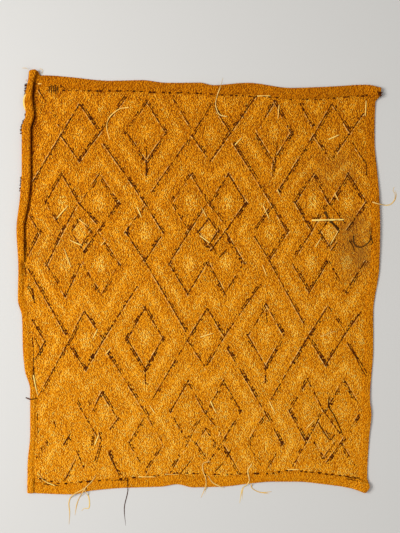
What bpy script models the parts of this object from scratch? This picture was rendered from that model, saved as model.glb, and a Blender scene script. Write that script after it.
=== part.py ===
"""Raffia cut-pile panel, laid flat with its wrong side up.

Metres, +Z up. The panel lies on the plane z = 0, which its underside touches, and the
origin is on that underside, near the middle of the panel. +Y runs up the length of the
panel, and +X across it.

The panel is one length of cloth. Its right edge is turned over once, then the top and
bottom edges over that, and the left edge last: its upper half is turned twice and left
as a soft standing roll, its lower half is pressed down to a single turn. Loose raffia
ends hang out of the sewing along the edges, and longer raffia floats lie across the
wrong side.
"""

import math

import bmesh
import bpy
from mathutils import Vector
from mathutils.bvhtree import BVHTree

for old in list(bpy.data.objects):
    bpy.data.objects.remove(old, do_unlink=True)

MM = 0.001

# The cloth and its hems
CLOTH = 1.2 * MM          # woven ground with its flattened pile
LAYER_GAP = 0.4 * MM      # air between two turned layers
TOP_HEM = 17 * MM         # widths of the turned hems
BOTTOM_HEM = 16 * MM
RIGHT_HEM = 13 * MM
HEM_RAMP = 8 * MM         # length over which a hem climbs onto another one
PANEL_WIDTH = 524 * MM    # nominal size inside which the hems are set out
PANEL_LENGTH = 612 * MM

# Corners of the finished panel, and the turning points of each edge between them,
# all as x, y in millimetres
CORNERS = {
    "top_left": (-255, 316),
    "top_right": (275, 292),
    "bottom_right": (251, -314),
    "bottom_left": (-254, -314),
}
TOP_EDGE = [
    (-244, 318), (-237, 311), (-225, 311), (-195, 309), (-130, 303), (-82, 304),
    (-45, 300), (4, 300), (24, 296), (75, 300), (140, 292), (196, 294), (250, 297),
]
BOTTOM_EDGE = [
    (-235, -315), (-186, -316), (-160, -311), (-111, -307), (-55, -305), (-30, -301),
    (-6, -306), (39, -305), (80, -300), (114, -297), (147, -297), (195, -302), (234, -308),
]
LEFT_EDGE = [
    (-254, -276), (-250, -225), (-250, -160), (-258, -130), (-261, -96), (-262, -51),
    (-268, -25), (-267, 24), (-270, 80), (-265, 125), (-262, 165), (-262, 230),
    (-256, 252), (-258, 275),
]
RIGHT_EDGE = [
    (258, -304), (255, -291), (258, -231), (261, -195), (259, -175), (264, -96),
    (264, -45), (273, 24), (274, 80), (273, 125), (270, 165), (266, 214), (267, 271),
    (274, 280),
]

# The left edge, from the bottom of the panel to its top: how wide and how high the
# turned edge is, and how much of its inner turn is there, from 0 (none) to 1 (all)
LEFT_ROLL = [
    # y_mm, width_mm, height_mm, tucked
    (-320, 13.5, 2.9, 0.0),
    (-225, 10.5, 2.9, 0.0),
    (-160, 11.0, 2.9, 0.0),
    (-100, 13.5, 2.9, 0.0),
    (-40, 11.5, 3.0, 0.0),
    (10, 11.0, 4.6, 0.0),
    (30, 11.0, 6.4, 0.0),
    (80, 11.0, 7.2, 1.0),
    (130, 13.5, 8.2, 1.0),
    (230, 13.5, 8.6, 1.0),
    (275, 12.0, 9.2, 1.0),
    (320, 11.0, 9.6, 1.0),
]
ROLL_STARTS, ROLL_IS_WHOLE = 25 * MM, 85 * MM      # where the second turn comes in
TUCK_DROP = 0.15          # share of the roll's spare height that is under the second turn
LEAST_RUN = 2 * MM        # flat cloth between the roll's two turns
BESIDE_ROLL = (12 * MM, 17 * MM)      # mesh lines just inside the left edge

# Places where the panel lifts off what it lies on
LIFTS = [
    # x_mm, y_mm, rise_mm, reach_x_mm, reach_y_mm (it is down again at twice its reach)
    (-252, 322, 3.0, 12, 16),
    (-186, -322, 2.6, 40, 17),
    (-30, -304, 1.8, 22, 14),
    (130, -302, 2.4, 45, 18),
    (248, -316, 2.6, 22, 20),
    (276, 95, 2.8, 20, 60),
    (262, -190, 1.8, 16, 30),
    (276, 292, 2.6, 22, 20),
    (150, 297, 1.8, 45, 14),
    (24, 300, 2.0, 26, 15),
    (-272, 0, 2.0, 18, 45),
]

# The fold line that shows near the right edge, as a soft ridge
CREASE_X = 230 * MM
CREASE_LOW, CREASE_HIGH = 70 * MM, 235 * MM
CREASE_HEIGHT = 0.9 * MM
CREASE_WIDTH = 7 * MM
CREASE_FADE = 30 * MM     # length over which the ridge dies out at its ends

# Number of steps in the mesh
STEPS_ACROSS = 16         # of the flat cloth, side to side, between the hems
STEPS_ALONG = 24          # of the flat cloth, bottom to top, between the hems
STEPS_TURN = 4            # round one plain hem's turn
STEPS_HEM = 3             # across one plain hem
STEPS_ROLL = 18           # round the whole left edge
STEPS_TUCK = 6            # added where the second turn of the left edge comes in

# Loose raffia
RAFFIA_WIDTH = 1.5 * MM
RAFFIA_THICKNESS = 0.8 * MM
REST_GAP = 0.35 * MM      # between a strand and the cloth that carries it
STRAND_STEP = 3.6 * MM    # length of one step along a strand
STRAND_SLOPE = 0.75       # steepest that a strand comes down to the floor
CURVE_STEPS = 20          # fine steps between two points of a strand's route
PROBE_HEIGHT = 0.1        # from where a strand feels down for the cloth

# Each loose end's route, in millimetres, from its root in the cloth to its tip
LOOSE_ENDS = {
    "end_top": [(45, 249), (33, 253), (28, 267), (30, 279), (35, 294), (39, 308)],
    "end_right": [
        (262, 121), (272, 118), (288, 117), (296, 124), (297, 133), (294, 139), (296, 144),
    ],
    "end_middle": [(20, -267), (9, -270), (9, -281), (13, -293), (12, -307), (6, -322)],
    "end_middle_short": [(17, -289), (24, -299), (41, -307)],
    "end_fork_long": [(82, -271), (76, -281), (78, -296), (68, -309), (64, -330)],
    "end_fork_short": [(81, -300), (83, -308), (96, -314), (112, -313)],
    "end_brown": [(-104, -291), (-104, -313), (-109, -337), (-107, -364)],
}
KNOT_PLACE = (-168, -307)
KNOT_SIZE = (5.2 * MM, 4.6 * MM, 3.6 * MM)
KNOT_TAILS = [
    [KNOT_PLACE, (-158, -297), (-151, -288)],
    [KNOT_PLACE, (-186, -317), (-192, -329), (-191, -345), (-192, -362)],
    [KNOT_PLACE, (-179, -328), (-183, -348)],
    [KNOT_PLACE, (-162, -323), (-162, -337), (-169, -338), (-173, -342)],
]

# The longest raffia floats: each lies across the cloth with a slight bow
FLOATS = {
    # name: x1_mm, y1_mm, x2_mm, y2_mm, width_mm, bow_mm
    "float_long": (172, 94, 220, 95, 2.2, 1.0),
    "float_left_bar": (-190, 64, -172, 56, 1.9, 0.9),
    "float_left_upper": (-210, 97, -193, 116, 1.6, 1.0),
    "float_left_middle": (-177, 95, -162, 84, 1.6, 0.8),
    "float_left_lower": (-199, 51, -189, 24, 1.3, 0.8),
    "float_centre": (4, 71, 19, 60, 1.4, 0.7),
    "float_right": (199, 57, 212, 79, 1.3, 0.8),
    "float_top": (123, 267, 121, 246, 1.3, 0.7),
    "float_corner": (253, 273, 252, 250, 1.3, 0.6),
}


def smooth(share):
    """Ease from 0 to 1."""
    share = min(1.0, max(0.0, share))
    return share * share * (3 - 2 * share)


def mix(a, b, share):
    return a + (b - a) * share


def through(points, place):
    """Smooth curve through sorted (place, value, ...) rows, read at one place."""
    keys = [row[0] for row in points]
    if place <= keys[0]:
        return points[0][1:]
    if place >= keys[-1]:
        return points[-1][1:]
    k = max(i for i, key in enumerate(keys) if key <= place)
    span = keys[k + 1] - keys[k]
    t = (place - keys[k]) / span
    found = []
    for column in range(1, len(points[0])):
        a, b = points[k][column], points[k + 1][column]
        rise = (b - a) / span
        before = rise
        after = rise
        if k > 0:
            before = (a - points[k - 1][column]) / (keys[k] - keys[k - 1])
        if k + 2 < len(keys):
            after = (points[k + 2][column] - b) / (keys[k + 2] - keys[k + 1])
        start = 0.0 if before * rise <= 0 else 2 * before * rise / (before + rise)
        end = 0.0 if after * rise <= 0 else 2 * after * rise / (after + rise)
        t2, t3 = t * t, t * t * t
        found.append(
            (2 * t3 - 3 * t2 + 1) * a
            + (t3 - 2 * t2 + t) * span * start
            + (3 * t2 - 2 * t3) * b
            + (t3 - t2) * span * end
        )
    return found


def edge_point(first, rows, last, axis, share):
    """Point of one edge of the panel; axis is the one that the edge runs along."""
    table = sorted((row[axis], row[1 - axis]) for row in [first, *rows, last])
    along = mix(table[0][0], table[-1][0], share)
    (off,) = through(table, along)
    point = (along, off) if axis == 0 else (off, along)
    return Vector(point) * MM


def on_panel(x, y):
    """Nominal place on the panel, from its left and bottom edge, to its real x and y.

    A patch is stretched between the four edges, so that a line beside an edge follows
    that edge's waves.
    """
    u = x / PANEL_WIDTH
    v = y / PANEL_LENGTH
    top_left, top_right = CORNERS["top_left"], CORNERS["top_right"]
    low_left, low_right = CORNERS["bottom_left"], CORNERS["bottom_right"]
    top = edge_point(top_left, TOP_EDGE, top_right, 0, u)
    low = edge_point(low_left, BOTTOM_EDGE, low_right, 0, u)
    left = edge_point(low_left, LEFT_EDGE, top_left, 1, v)
    right = edge_point(low_right, RIGHT_EDGE, top_right, 1, v)
    corners = mix(
        mix(Vector(low_left), Vector(low_right), u),
        mix(Vector(top_left), Vector(top_right), u),
        v,
    ) * MM
    return mix(low, top, v) + mix(left, right, u) - corners


def lift(x, y):
    """Height of the panel's underside over the plane that it lies on."""
    height = 0.0
    for x_mm, y_mm, rise_mm, reach_x, reach_y in LIFTS:
        away = math.hypot((x / MM - x_mm) / reach_x, (y / MM - y_mm) / reach_y)
        height = max(height, rise_mm * MM * (1 - smooth(away / 2)))
    ends = smooth((y - CREASE_LOW) / CREASE_FADE) * smooth((CREASE_HIGH - y) / CREASE_FADE)
    ridge = 1 - smooth(abs(x - CREASE_X) / CREASE_WIDTH)
    return max(height, CREASE_HEIGHT * ridge * ends)


def turned_over(start, centre, level, turn, back):
    """Plain hem: the edge goes round a half turn and lies back on the cloth.

    start is where the turn begins and centre is its height; level is the height of the
    point in the flat cloth, turn is its share of the half turn, and back is how far it
    lies behind the turn. The distance is given outwards.
    """
    angle = math.pi * turn
    reach = centre - level
    return start + reach * math.sin(angle) - back, centre - reach * math.cos(angle)


def right_hem_stack(x):
    """Thickness of all layers at a place across the panel, with the right hem's."""
    inner = PANEL_WIDTH - RIGHT_HEM
    return mix(CLOTH, 2 * CLOTH + LAYER_GAP, smooth((x - inner) / HEM_RAMP + 1))


def end_hem_stack(y):
    """Thickness of all layers at a place up the panel, with the top and bottom hems."""
    above = smooth((y - PANEL_LENGTH + TOP_HEM) / HEM_RAMP + 1)
    below = smooth((BOTTOM_HEM - y) / HEM_RAMP + 1)
    return mix(CLOTH, 2 * CLOTH + LAYER_GAP, max(above, below))


def rolled_in(share, level, y):
    """Left edge: a turn up and over, then a second turn in under the first.

    share is the point's place along the turned edge, from the flat cloth to the raw
    edge. Gives the distance from the outermost line of the edge, and the height.
    """
    stack = end_hem_stack(y)
    real_y = mix(CORNERS["bottom_left"][1], CORNERS["top_left"][1], y / PANEL_LENGTH)
    width, height, tucked = through(LEFT_ROLL, real_y)
    layers = 3 if tucked > 0 else 2
    width, height = width * MM, height * MM
    height = max(height, layers * stack + (layers - 1) * LAYER_GAP)
    slack = max(0.0, height - 3 * stack - 2 * LAYER_GAP)
    inner_floor = stack + LAYER_GAP + TUCK_DROP * slack
    outer = height / 2
    inner = (height - inner_floor) / 2
    if layers == 2:
        inner = outer
    width = max(width, outer + inner + LEAST_RUN)
    run = width - inner - outer
    first_turn = math.pi * (outer - stack / 2)
    second_turn = math.pi * max(inner - stack / 2, LAYER_GAP)
    tuck_length = second_turn + run
    at = share * (first_turn + run + tucked * tuck_length)
    if at < first_turn:
        angle = math.pi * at / first_turn
        reach = outer - level
        return outer - reach * math.sin(angle), outer - reach * math.cos(angle)
    at -= first_turn
    if at < run or layers == 2:
        return outer + at, height - level
    at -= run
    middle = (height + inner_floor) / 2
    if at < second_turn:
        angle = math.pi * at / second_turn
        reach = inner - level
        return width - inner + reach * math.sin(angle), middle + reach * math.cos(angle)
    at -= second_turn
    return width - inner - at, inner_floor + level


def flat_places(length, hem_before, hem_after, steps):
    """Places of the mesh lines on the flat cloth, with lines under each hem's own ones."""
    before = [hem_before * i / STEPS_HEM for i in range(STEPS_HEM + 1)] if hem_before else []
    after = [length - hem_after * i / STEPS_HEM for i in range(STEPS_HEM + 1)]
    start = hem_before + HEM_RAMP if hem_before else 0.0
    end = length - hem_after - HEM_RAMP
    ramps = [end + HEM_RAMP / 2]
    if hem_before:
        ramps.append(hem_before + HEM_RAMP / 2)
    middle = [mix(start, end, i / steps) for i in range(steps + 1)]
    return sorted(before + middle + ramps + after)


def columns():
    """Places across the cloth, from the left edge's raw edge to the right one's."""
    roll = [("roll", 1 - i / STEPS_ROLL) for i in range(STEPS_ROLL)]
    flat = flat_places(PANEL_WIDTH, 0.0, RIGHT_HEM, STEPS_ACROSS)
    flat = [("flat", x) for x in sorted([*flat, *BESIDE_ROLL])]
    turn = [("turn", i / STEPS_TURN) for i in range(1, STEPS_TURN + 1)]
    hem = [("hem", RIGHT_HEM * i / STEPS_HEM) for i in range(1, STEPS_HEM + 1)]
    return roll + flat + turn + hem


def rows():
    """Places up the cloth, from the bottom hem's raw edge to the top one's."""
    below = [("hem_low", BOTTOM_HEM * (1 - i / STEPS_HEM)) for i in range(STEPS_HEM)]
    below += [("turn_low", 1 - i / STEPS_TURN) for i in range(STEPS_TURN)]
    flat = flat_places(PANEL_LENGTH, BOTTOM_HEM, TOP_HEM, STEPS_ALONG)
    bottom = CORNERS["bottom_left"][1] * MM
    flat = [y for y in flat if not ROLL_STARTS < y + bottom < ROLL_IS_WHOLE]
    tuck = [mix(ROLL_STARTS, ROLL_IS_WHOLE, i / STEPS_TUCK) for i in range(STEPS_TUCK + 1)]
    flat = sorted(flat + [y - bottom for y in tuck])
    above = [("turn", i / STEPS_TURN) for i in range(1, STEPS_TURN + 1)]
    above += [("hem", TOP_HEM * i / STEPS_HEM) for i in range(1, STEPS_HEM + 1)]
    return below + [("flat", y) for y in flat] + above


def cloth_point(column, row, level):
    """Where one point of the flat cloth ends up once all four edges are turned."""
    kind, amount = column
    across, height = 0.0, level
    centre = CLOTH + LAYER_GAP / 2
    if kind == "flat":
        across = min(amount, PANEL_WIDTH - centre)
    elif kind in ("turn", "hem"):
        turn = amount if kind == "turn" else 1.0
        back = amount - centre if kind == "hem" else 0.0
        across, height = turned_over(PANEL_WIDTH - centre, centre, level, turn, back)

    centre = right_hem_stack(across) + LAYER_GAP / 2
    kind, amount = row
    if kind == "flat":
        along = min(max(amount, centre), PANEL_LENGTH - centre)
    elif kind in ("turn", "hem"):
        turn = amount if kind == "turn" else 1.0
        back = amount - centre if kind == "hem" else 0.0
        along, height = turned_over(PANEL_LENGTH - centre, centre, height, turn, back)
    else:
        turn = amount if kind == "turn_low" else 1.0
        back = amount - centre if kind == "hem_low" else 0.0
        down, height = turned_over(-centre, centre, height, turn, back)
        along = -down

    kind, amount = column
    if kind == "roll":
        across, height = rolled_in(amount, height, along)
    elif across < BESIDE_ROLL[0]:
        across = rolled_in(0.0, height, along)[0]

    place = on_panel(across, along)
    return Vector((place.x, place.y, height + lift(place.x, place.y)))


def material(name, colour, roughness):
    """Plain raffia finish."""
    made = bpy.data.materials.new(name)
    made.use_nodes = True
    shader = made.node_tree.nodes["Principled BSDF"]
    shader.inputs["Base Color"].default_value = (*colour, 1)
    shader.inputs["Roughness"].default_value = roughness
    shader.inputs["Metallic"].default_value = 0
    return made


def new_object(name, mesh, finish):
    mesh.materials.append(finish)
    made = bpy.data.objects.new(name, mesh)
    bpy.context.scene.collection.objects.link(made)
    return made


def make_cloth(finish):
    """The panel as one closed sheet, with all its edges turned."""
    across, along = columns(), rows()
    shape = bmesh.new()
    under, upper = [], []
    for level, grid in ((0.0, under), (CLOTH, upper)):
        for column in across:
            grid.append([shape.verts.new(cloth_point(column, row, level)) for row in along])
    last_i, last_j = len(across) - 1, len(along) - 1
    for i in range(last_i):
        for j in range(last_j):
            a, b, c, d = (i, j), (i + 1, j), (i + 1, j + 1), (i, j + 1)
            shape.faces.new([upper[m][n] for m, n in (a, b, c, d)])
            shape.faces.new([under[m][n] for m, n in (a, d, c, b)])
    for i in range(last_i):
        shape.faces.new((under[i][0], under[i + 1][0], upper[i + 1][0], upper[i][0]))
        shape.faces.new(
            (upper[i][last_j], upper[i + 1][last_j], under[i + 1][last_j], under[i][last_j])
        )
    for j in range(last_j):
        shape.faces.new((upper[0][j], upper[0][j + 1], under[0][j + 1], under[0][j]))
        shape.faces.new(
            (under[last_i][j], under[last_i][j + 1], upper[last_i][j + 1], upper[last_i][j])
        )
    bmesh.ops.triangulate(shape, faces=shape.faces, quad_method="FIXED")
    mesh = bpy.data.meshes.new("cloth")
    shape.to_mesh(mesh)
    shape.free()
    return new_object("cloth", mesh, finish)


def resample(route):
    """Evenly spaced points on a smooth curve through a route's points."""
    points = [Vector(p) * MM for p in route]
    ends = [2 * points[0] - points[1], *points, 2 * points[-1] - points[-2]]
    fine = []
    for k in range(1, len(ends) - 2):
        a, b, c, d = ends[k - 1], ends[k], ends[k + 1], ends[k + 2]
        for i in range(CURVE_STEPS):
            t = i / CURVE_STEPS
            fine.append(
                0.5 * (2 * b + (c - a) * t + (2 * a - 5 * b + 4 * c - d) * t * t
                       + (3 * b - a - 3 * c + d) * t * t * t)
            )
    fine.append(points[-1])
    total = sum((q - p).length for p, q in zip(fine, fine[1:]))
    count = max(4, round(total / STRAND_STEP))
    even, walked, target = [fine[0]], 0.0, total / count
    for p, q in zip(fine, fine[1:]):
        length = (q - p).length
        while walked + length >= target * len(even) - 1e-9 and len(even) < count:
            even.append(p.lerp(q, (target * len(even) - walked) / length))
        walked += length
    even.append(fine[-1])
    return even


def heading(path, i):
    """Direction of a flat path at one of its points."""
    step = path[min(i + 1, len(path) - 1)] - path[max(i - 1, 0)]
    return step.normalized()


def seated(path, surface, width, bow):
    """Height of a strand's underside along a path over the cloth and the floor."""
    heights = []
    for i, p in enumerate(path):
        ahead = heading(path, i)
        aside = Vector((-ahead.y, ahead.x))
        top = 0.0
        for forward in (-1, -0.75, -0.5, -0.25, 0, 0.25, 0.5, 0.75, 1):
            for across in (-0.6, 0, 0.6):
                place = p + ahead * forward * STRAND_STEP + aside * across * width
                above = Vector((*place, PROBE_HEIGHT))
                hit = surface.ray_cast(above, Vector((0, 0, -1)))[0]
                if hit is not None:
                    top = max(top, hit.z + REST_GAP)
        heights.append(top)
    drop = STRAND_SLOPE * (path[1] - path[0]).length
    for i in range(1, len(heights)):
        heights[i] = max(heights[i], heights[i - 1] - drop)
    for i in range(len(heights) - 2, -1, -1):
        heights[i] = max(heights[i], heights[i + 1] - drop)
    last = len(path) - 1
    return [h + bow * math.sin(math.pi * i / last) for i, h in enumerate(heights)]


def strand_mesh(name, path, heights, width, thickness):
    """Flat four-sided strip of raffia along a path, closed at both ends."""
    shape = bmesh.new()
    rings = []
    for i, (p, low) in enumerate(zip(path, heights)):
        ahead = heading(path, i)
        aside = Vector((-ahead.y, ahead.x)) * width / 2
        high = low + thickness
        corners = ((p - aside, low), (p + aside, low), (p + aside, high), (p - aside, high))
        rings.append([shape.verts.new((*place, z)) for place, z in corners])
    for a, b in zip(rings, rings[1:]):
        for k in range(4):
            m = (k + 1) % 4
            shape.faces.new((a[k], b[k], b[m], a[m]))
    shape.faces.new(rings[0])
    shape.faces.new(list(reversed(rings[-1])))
    bmesh.ops.recalc_face_normals(shape, faces=shape.faces)
    mesh = bpy.data.meshes.new(name)
    shape.to_mesh(mesh)
    shape.free()
    return mesh


def make_strand(name, route, surface, finish, width=RAFFIA_WIDTH, bow=0.0):
    path = resample(route)
    heights = seated(path, surface, width, bow)
    mesh = strand_mesh(name, path, heights, width, RAFFIA_THICKNESS)
    return new_object(name, mesh, finish)


def make_knot(surface, finish):
    """The knotted end at the lower left: a small knot with its tails joined to it."""
    place = Vector(KNOT_PLACE) * MM
    across = Vector((KNOT_SIZE[0] / 2, 0))
    low = seated([place - across, place, place + across], surface, KNOT_SIZE[1], 0)[1]
    shape = bmesh.new()
    bmesh.ops.create_icosphere(shape, subdivisions=1, radius=0.5)
    for vert in shape.verts:
        vert.co = Vector([part * size for part, size in zip(vert.co, KNOT_SIZE)])
        vert.co += Vector((*place, low + KNOT_SIZE[2] / 2))
    mesh = bpy.data.meshes.new("end_knot")
    shape.to_mesh(mesh)
    shape.free()
    knot = new_object("end_knot", mesh, finish)
    for number, route in enumerate(KNOT_TAILS):
        tail = make_strand(f"knot_tail_{number}", route, surface, finish)
        tail.hide_render = True
        tail.display_type = "WIRE"
        joined = knot.modifiers.new(tail.name, "BOOLEAN")
        joined.operation = "UNION"
        joined.object = tail
    return knot


ochre = material("ochre_raffia", (0.552, 0.198, 0.012), 0.75)
pale = material("pale_raffia", (0.80, 0.52, 0.20), 0.6)
brown = material("brown_raffia", (0.06, 0.025, 0.01), 0.75)

cloth = make_cloth(ochre)
bpy.context.view_layer.update()
carrier = BVHTree.FromObject(cloth, bpy.context.evaluated_depsgraph_get())

for end_name, end_route in LOOSE_ENDS.items():
    make_strand(end_name, end_route, carrier, brown if end_name == "end_brown" else pale)
for float_name, (x1, y1, x2, y2, float_width, float_bow) in FLOATS.items():
    make_strand(
        float_name, [(x1, y1), (x2, y2)], carrier, pale,
        width=float_width * MM, bow=float_bow * MM,
    )
make_knot(carrier, pale)
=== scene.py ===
"""The looks of a raffia cut-pile panel that lies flat with its wrong side up.

Metres, +Z up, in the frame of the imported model. All sizes in the tables are millimetres.
"""
import math

import bmesh
import bpy
import numpy as np
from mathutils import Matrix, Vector, noise
from mathutils.bvhtree import BVHTree


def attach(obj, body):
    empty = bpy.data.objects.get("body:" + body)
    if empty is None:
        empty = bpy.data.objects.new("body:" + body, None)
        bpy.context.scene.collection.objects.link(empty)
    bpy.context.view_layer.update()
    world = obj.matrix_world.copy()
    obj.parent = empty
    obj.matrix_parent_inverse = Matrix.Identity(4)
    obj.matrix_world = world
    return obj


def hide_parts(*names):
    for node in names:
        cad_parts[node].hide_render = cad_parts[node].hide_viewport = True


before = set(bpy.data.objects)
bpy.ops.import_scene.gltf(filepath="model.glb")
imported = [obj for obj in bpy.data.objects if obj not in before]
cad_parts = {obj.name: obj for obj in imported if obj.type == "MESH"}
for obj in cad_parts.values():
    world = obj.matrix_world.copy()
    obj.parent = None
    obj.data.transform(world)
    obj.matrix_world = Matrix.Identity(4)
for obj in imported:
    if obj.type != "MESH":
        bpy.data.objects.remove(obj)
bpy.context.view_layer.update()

# Floor, light and camera
# The panel lies on a pale matt floor and is seen from straight above. Soft light comes
# in low from the left, so that folds and stitches show, and a weak one fills the right.
MM = 0.001
PICTURE_HEIGHT = 799.5 * MM       # floor that the picture shows, from top to bottom
PICTURE_CENTRE = (4.5 * MM, 24.75 * MM)
LENS, SENSOR = 50, 36
FLOOR_SIZE = 12.0
FLOOR_GREY = (206, 204, 200)
KEY_LIGHT = {"place": (-1.2, 0.1, 1.5), "size": 0.95, "power": 34}
FILL_LIGHT = {"place": (1.3, -0.5, 1.6), "size": 1.6, "power": 6.5}
SKY_STRENGTH = 0.34


def from_srgb(red, green, blue):
    """Linear colour, from three numbers of 0 to 255 as a screen shows them."""
    parts = [channel / 255 for channel in (red, green, blue)]
    return (*[p / 12.92 if p <= 0.04045 else ((p + 0.055) / 1.055) ** 2.4 for p in parts], 1)


def add_node(tree, kind, settings=None, inputs=None):
    """New node of a tree. Each input is given a value, or another node's output."""
    made = tree.nodes.new(kind)
    for name, value in (settings or {}).items():
        setattr(made, name, value)
    for name, value in (inputs or {}).items():
        if isinstance(value, bpy.types.NodeSocket):
            tree.links.new(value, made.inputs[name])
        else:
            made.inputs[name].default_value = value
    return made


def calc(tree, operation, *values):
    """Output of one Math node."""
    return add_node(tree, "ShaderNodeMath", {"operation": operation}, dict(enumerate(values))).outputs[0]


def new_material(name):
    """Material with nodes, and its tree and shader."""
    made = bpy.data.materials.new(name)
    made.use_nodes = True
    return made, made.node_tree, made.node_tree.nodes["Principled BSDF"]


def soft_light(name, place, size, power):
    light = bpy.data.lights.new(name, "AREA")
    light.shape = "DISK"
    light.size = size
    light.energy = power
    lamp = bpy.data.objects.new(name, light)
    lamp.location = place
    lamp.rotation_euler = (-Vector(place)).to_track_quat("-Z", "Y").to_euler()
    bpy.context.scene.collection.objects.link(lamp)


soft_light("key_light", **KEY_LIGHT)
soft_light("fill_light", **FILL_LIGHT)

world = bpy.data.worlds.new("studio")
world.use_nodes = True
world.node_tree.nodes["Background"].inputs["Color"].default_value = (1, 1, 1, 1)
world.node_tree.nodes["Background"].inputs["Strength"].default_value = SKY_STRENGTH
bpy.context.scene.world = world
bpy.context.scene.view_settings.view_transform = "Standard"

floor_mesh = bpy.data.meshes.new("floor")
half = FLOOR_SIZE / 2
floor_corners = [(-half, -half, 0), (half, -half, 0), (half, half, 0), (-half, half, 0)]
floor_mesh.from_pydata(floor_corners, [], [(0, 1, 2, 3)])
floor = bpy.data.objects.new("floor", floor_mesh)
bpy.context.scene.collection.objects.link(floor)
floor_finish, tree, shader = new_material("pale_floor")
shader.inputs["Base Color"].default_value = from_srgb(*FLOOR_GREY)
shader.inputs["Roughness"].default_value = 0.85
floor_mesh.materials.append(floor_finish)

view = bpy.data.cameras.new("camera")
view.lens = LENS
view.sensor_width = SENSOR
camera = bpy.data.objects.new("camera", view)
camera.location = (*PICTURE_CENTRE, PICTURE_HEIGHT * LENS / SENSOR)
bpy.context.scene.collection.objects.link(camera)
bpy.context.scene.camera = camera

# The cloth's fold
# One woven raffia length, with all its edges turned to the side that faces up: the
# right edge first, then the top and bottom over it, and last the left one, which is
# pressed flat at its lower half and stands as a soft roll at its upper half.
CLOTH = 1.2 * MM
LAYER_GAP = 0.4 * MM
TOP_HEM, BOTTOM_HEM, RIGHT_HEM = 17 * MM, 16 * MM, 13 * MM
HEM_RAMP = 8 * MM
PANEL_WIDTH, PANEL_LENGTH = 524 * MM, 612 * MM
CORNERS = {
    "top_left": (-255, 316),
    "top_right": (275, 292),
    "bottom_right": (251, -314),
    "bottom_left": (-254, -314),
}
TOP_EDGE = [
    (-244, 318), (-237, 311), (-225, 311), (-195, 309), (-130, 303), (-82, 304),
    (-45, 300), (4, 300), (24, 296), (75, 300), (140, 292), (196, 294), (250, 297),
]
BOTTOM_EDGE = [
    (-235, -315), (-186, -316), (-160, -311), (-111, -307), (-55, -305), (-30, -301),
    (-6, -306), (39, -305), (80, -300), (114, -297), (147, -297), (195, -302), (234, -308),
]
LEFT_EDGE = [
    (-254, -276), (-250, -225), (-250, -160), (-258, -130), (-261, -96), (-262, -51),
    (-268, -25), (-267, 24), (-270, 80), (-265, 125), (-262, 165), (-262, 230),
    (-256, 252), (-258, 275),
]
RIGHT_EDGE = [
    (258, -304), (255, -291), (258, -231), (261, -195), (259, -175), (264, -96),
    (264, -45), (273, 24), (274, 80), (273, 125), (270, 165), (266, 214), (267, 271),
    (274, 280),
]
LEFT_ROLL = [
    # y_mm, width_mm, height_mm, tucked (share of the second turn that is there)
    (-320, 13.5, 2.9, 0.0),
    (-225, 10.5, 2.9, 0.0),
    (-160, 11.0, 2.9, 0.0),
    (-100, 13.5, 2.9, 0.0),
    (-40, 11.5, 3.0, 0.0),
    (10, 11.0, 4.6, 0.0),
    (30, 11.0, 6.4, 0.0),
    (80, 11.0, 7.2, 1.0),
    (130, 13.5, 8.2, 1.0),
    (230, 13.5, 8.6, 1.0),
    (268, 12.2, 9.2, 1.0),
    (292, 9.6, 8.6, 1.0),
    (301, 8.6, 7.2, 1.0),
    (307, 10.8, 9.2, 1.0),
    (313, 11.6, 9.6, 1.0),
    (320, 10.0, 9.0, 1.0),
]
TUCK_DROP = 0.15                  # share of the roll's spare height under its second turn
LEAST_RUN = 2 * MM
BESIDE_ROLL = 12 * MM             # flat cloth that is drawn in at the roll's foot
LIFTS = [
    # x_mm, y_mm, rise_mm, reach_x_mm, reach_y_mm
    (-252, 322, 3.0, 12, 16),
    (-186, -322, 2.6, 40, 17),
    (-30, -304, 1.8, 22, 14),
    (130, -302, 2.4, 45, 18),
    (248, -316, 2.6, 22, 20),
    (276, 95, 2.8, 20, 60),
    (262, -190, 1.8, 16, 30),
    (276, 292, 2.6, 22, 20),
    (150, 297, 1.8, 45, 14),
    (24, 300, 2.0, 26, 15),
    (-272, 0, 2.0, 18, 45),
]
CREASE_X, CREASE_LOW, CREASE_HIGH = 230 * MM, 70 * MM, 235 * MM
CREASE_HEIGHT, CREASE_WIDTH, CREASE_FADE = 0.9 * MM, 7 * MM, 30 * MM
TIP_LEAN, TIP_LEAN_FROM, TIP_LEAN_REACH = 4.5 * MM, 268 * MM, 44 * MM       # top end of the left roll
THIN_EDGE, EDGE_THINNING = 5 * MM, 0.92        # last stretch of a hem, and how much thinner it gets
SETTLED_GAP = 0.05 * MM           # under the raw edge of the left hem's pressed half
STEPS_ACROSS, STEPS_ALONG = 154, 180
STEPS_RAMP, STEPS_TURN, STEPS_HEM, STEPS_ROLL = 4, 6, 5, 44


def smooth(share):
    """Ease from 0 to 1."""
    share = np.clip(share, 0.0, 1.0)
    return share * share * (3 - 2 * share)


def mix(a, b, share):
    return a + (b - a) * share


def through(rows, place):
    """Smooth curves through a table's rows, each read at many places at once."""
    table = np.array(rows, float)
    keys = table[:, 0]
    place = np.clip(place, keys[0], keys[-1])
    k = np.clip(np.searchsorted(keys, place, side="right") - 1, 0, len(keys) - 2)
    span = np.diff(keys)
    t = (place - keys[k]) / span[k]
    found = []
    for values in table.T[1:]:
        rise = np.diff(values) / span
        before, after = rise[:-1], rise[1:]
        turns = before * after <= 0
        inner = np.where(turns, 0.0, 2 * before * after / np.where(turns, 1.0, before + after))
        slope = np.concatenate(([rise[0]], inner, [rise[-1]]))
        found.append(
            (2 * t**3 - 3 * t**2 + 1) * values[k]
            + (t**3 - 2 * t**2 + t) * span[k] * slope[k]
            + (3 * t**2 - 2 * t**3) * values[k + 1]
            + (t**3 - t**2) * span[k] * slope[k + 1]
        )
    return found


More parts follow.
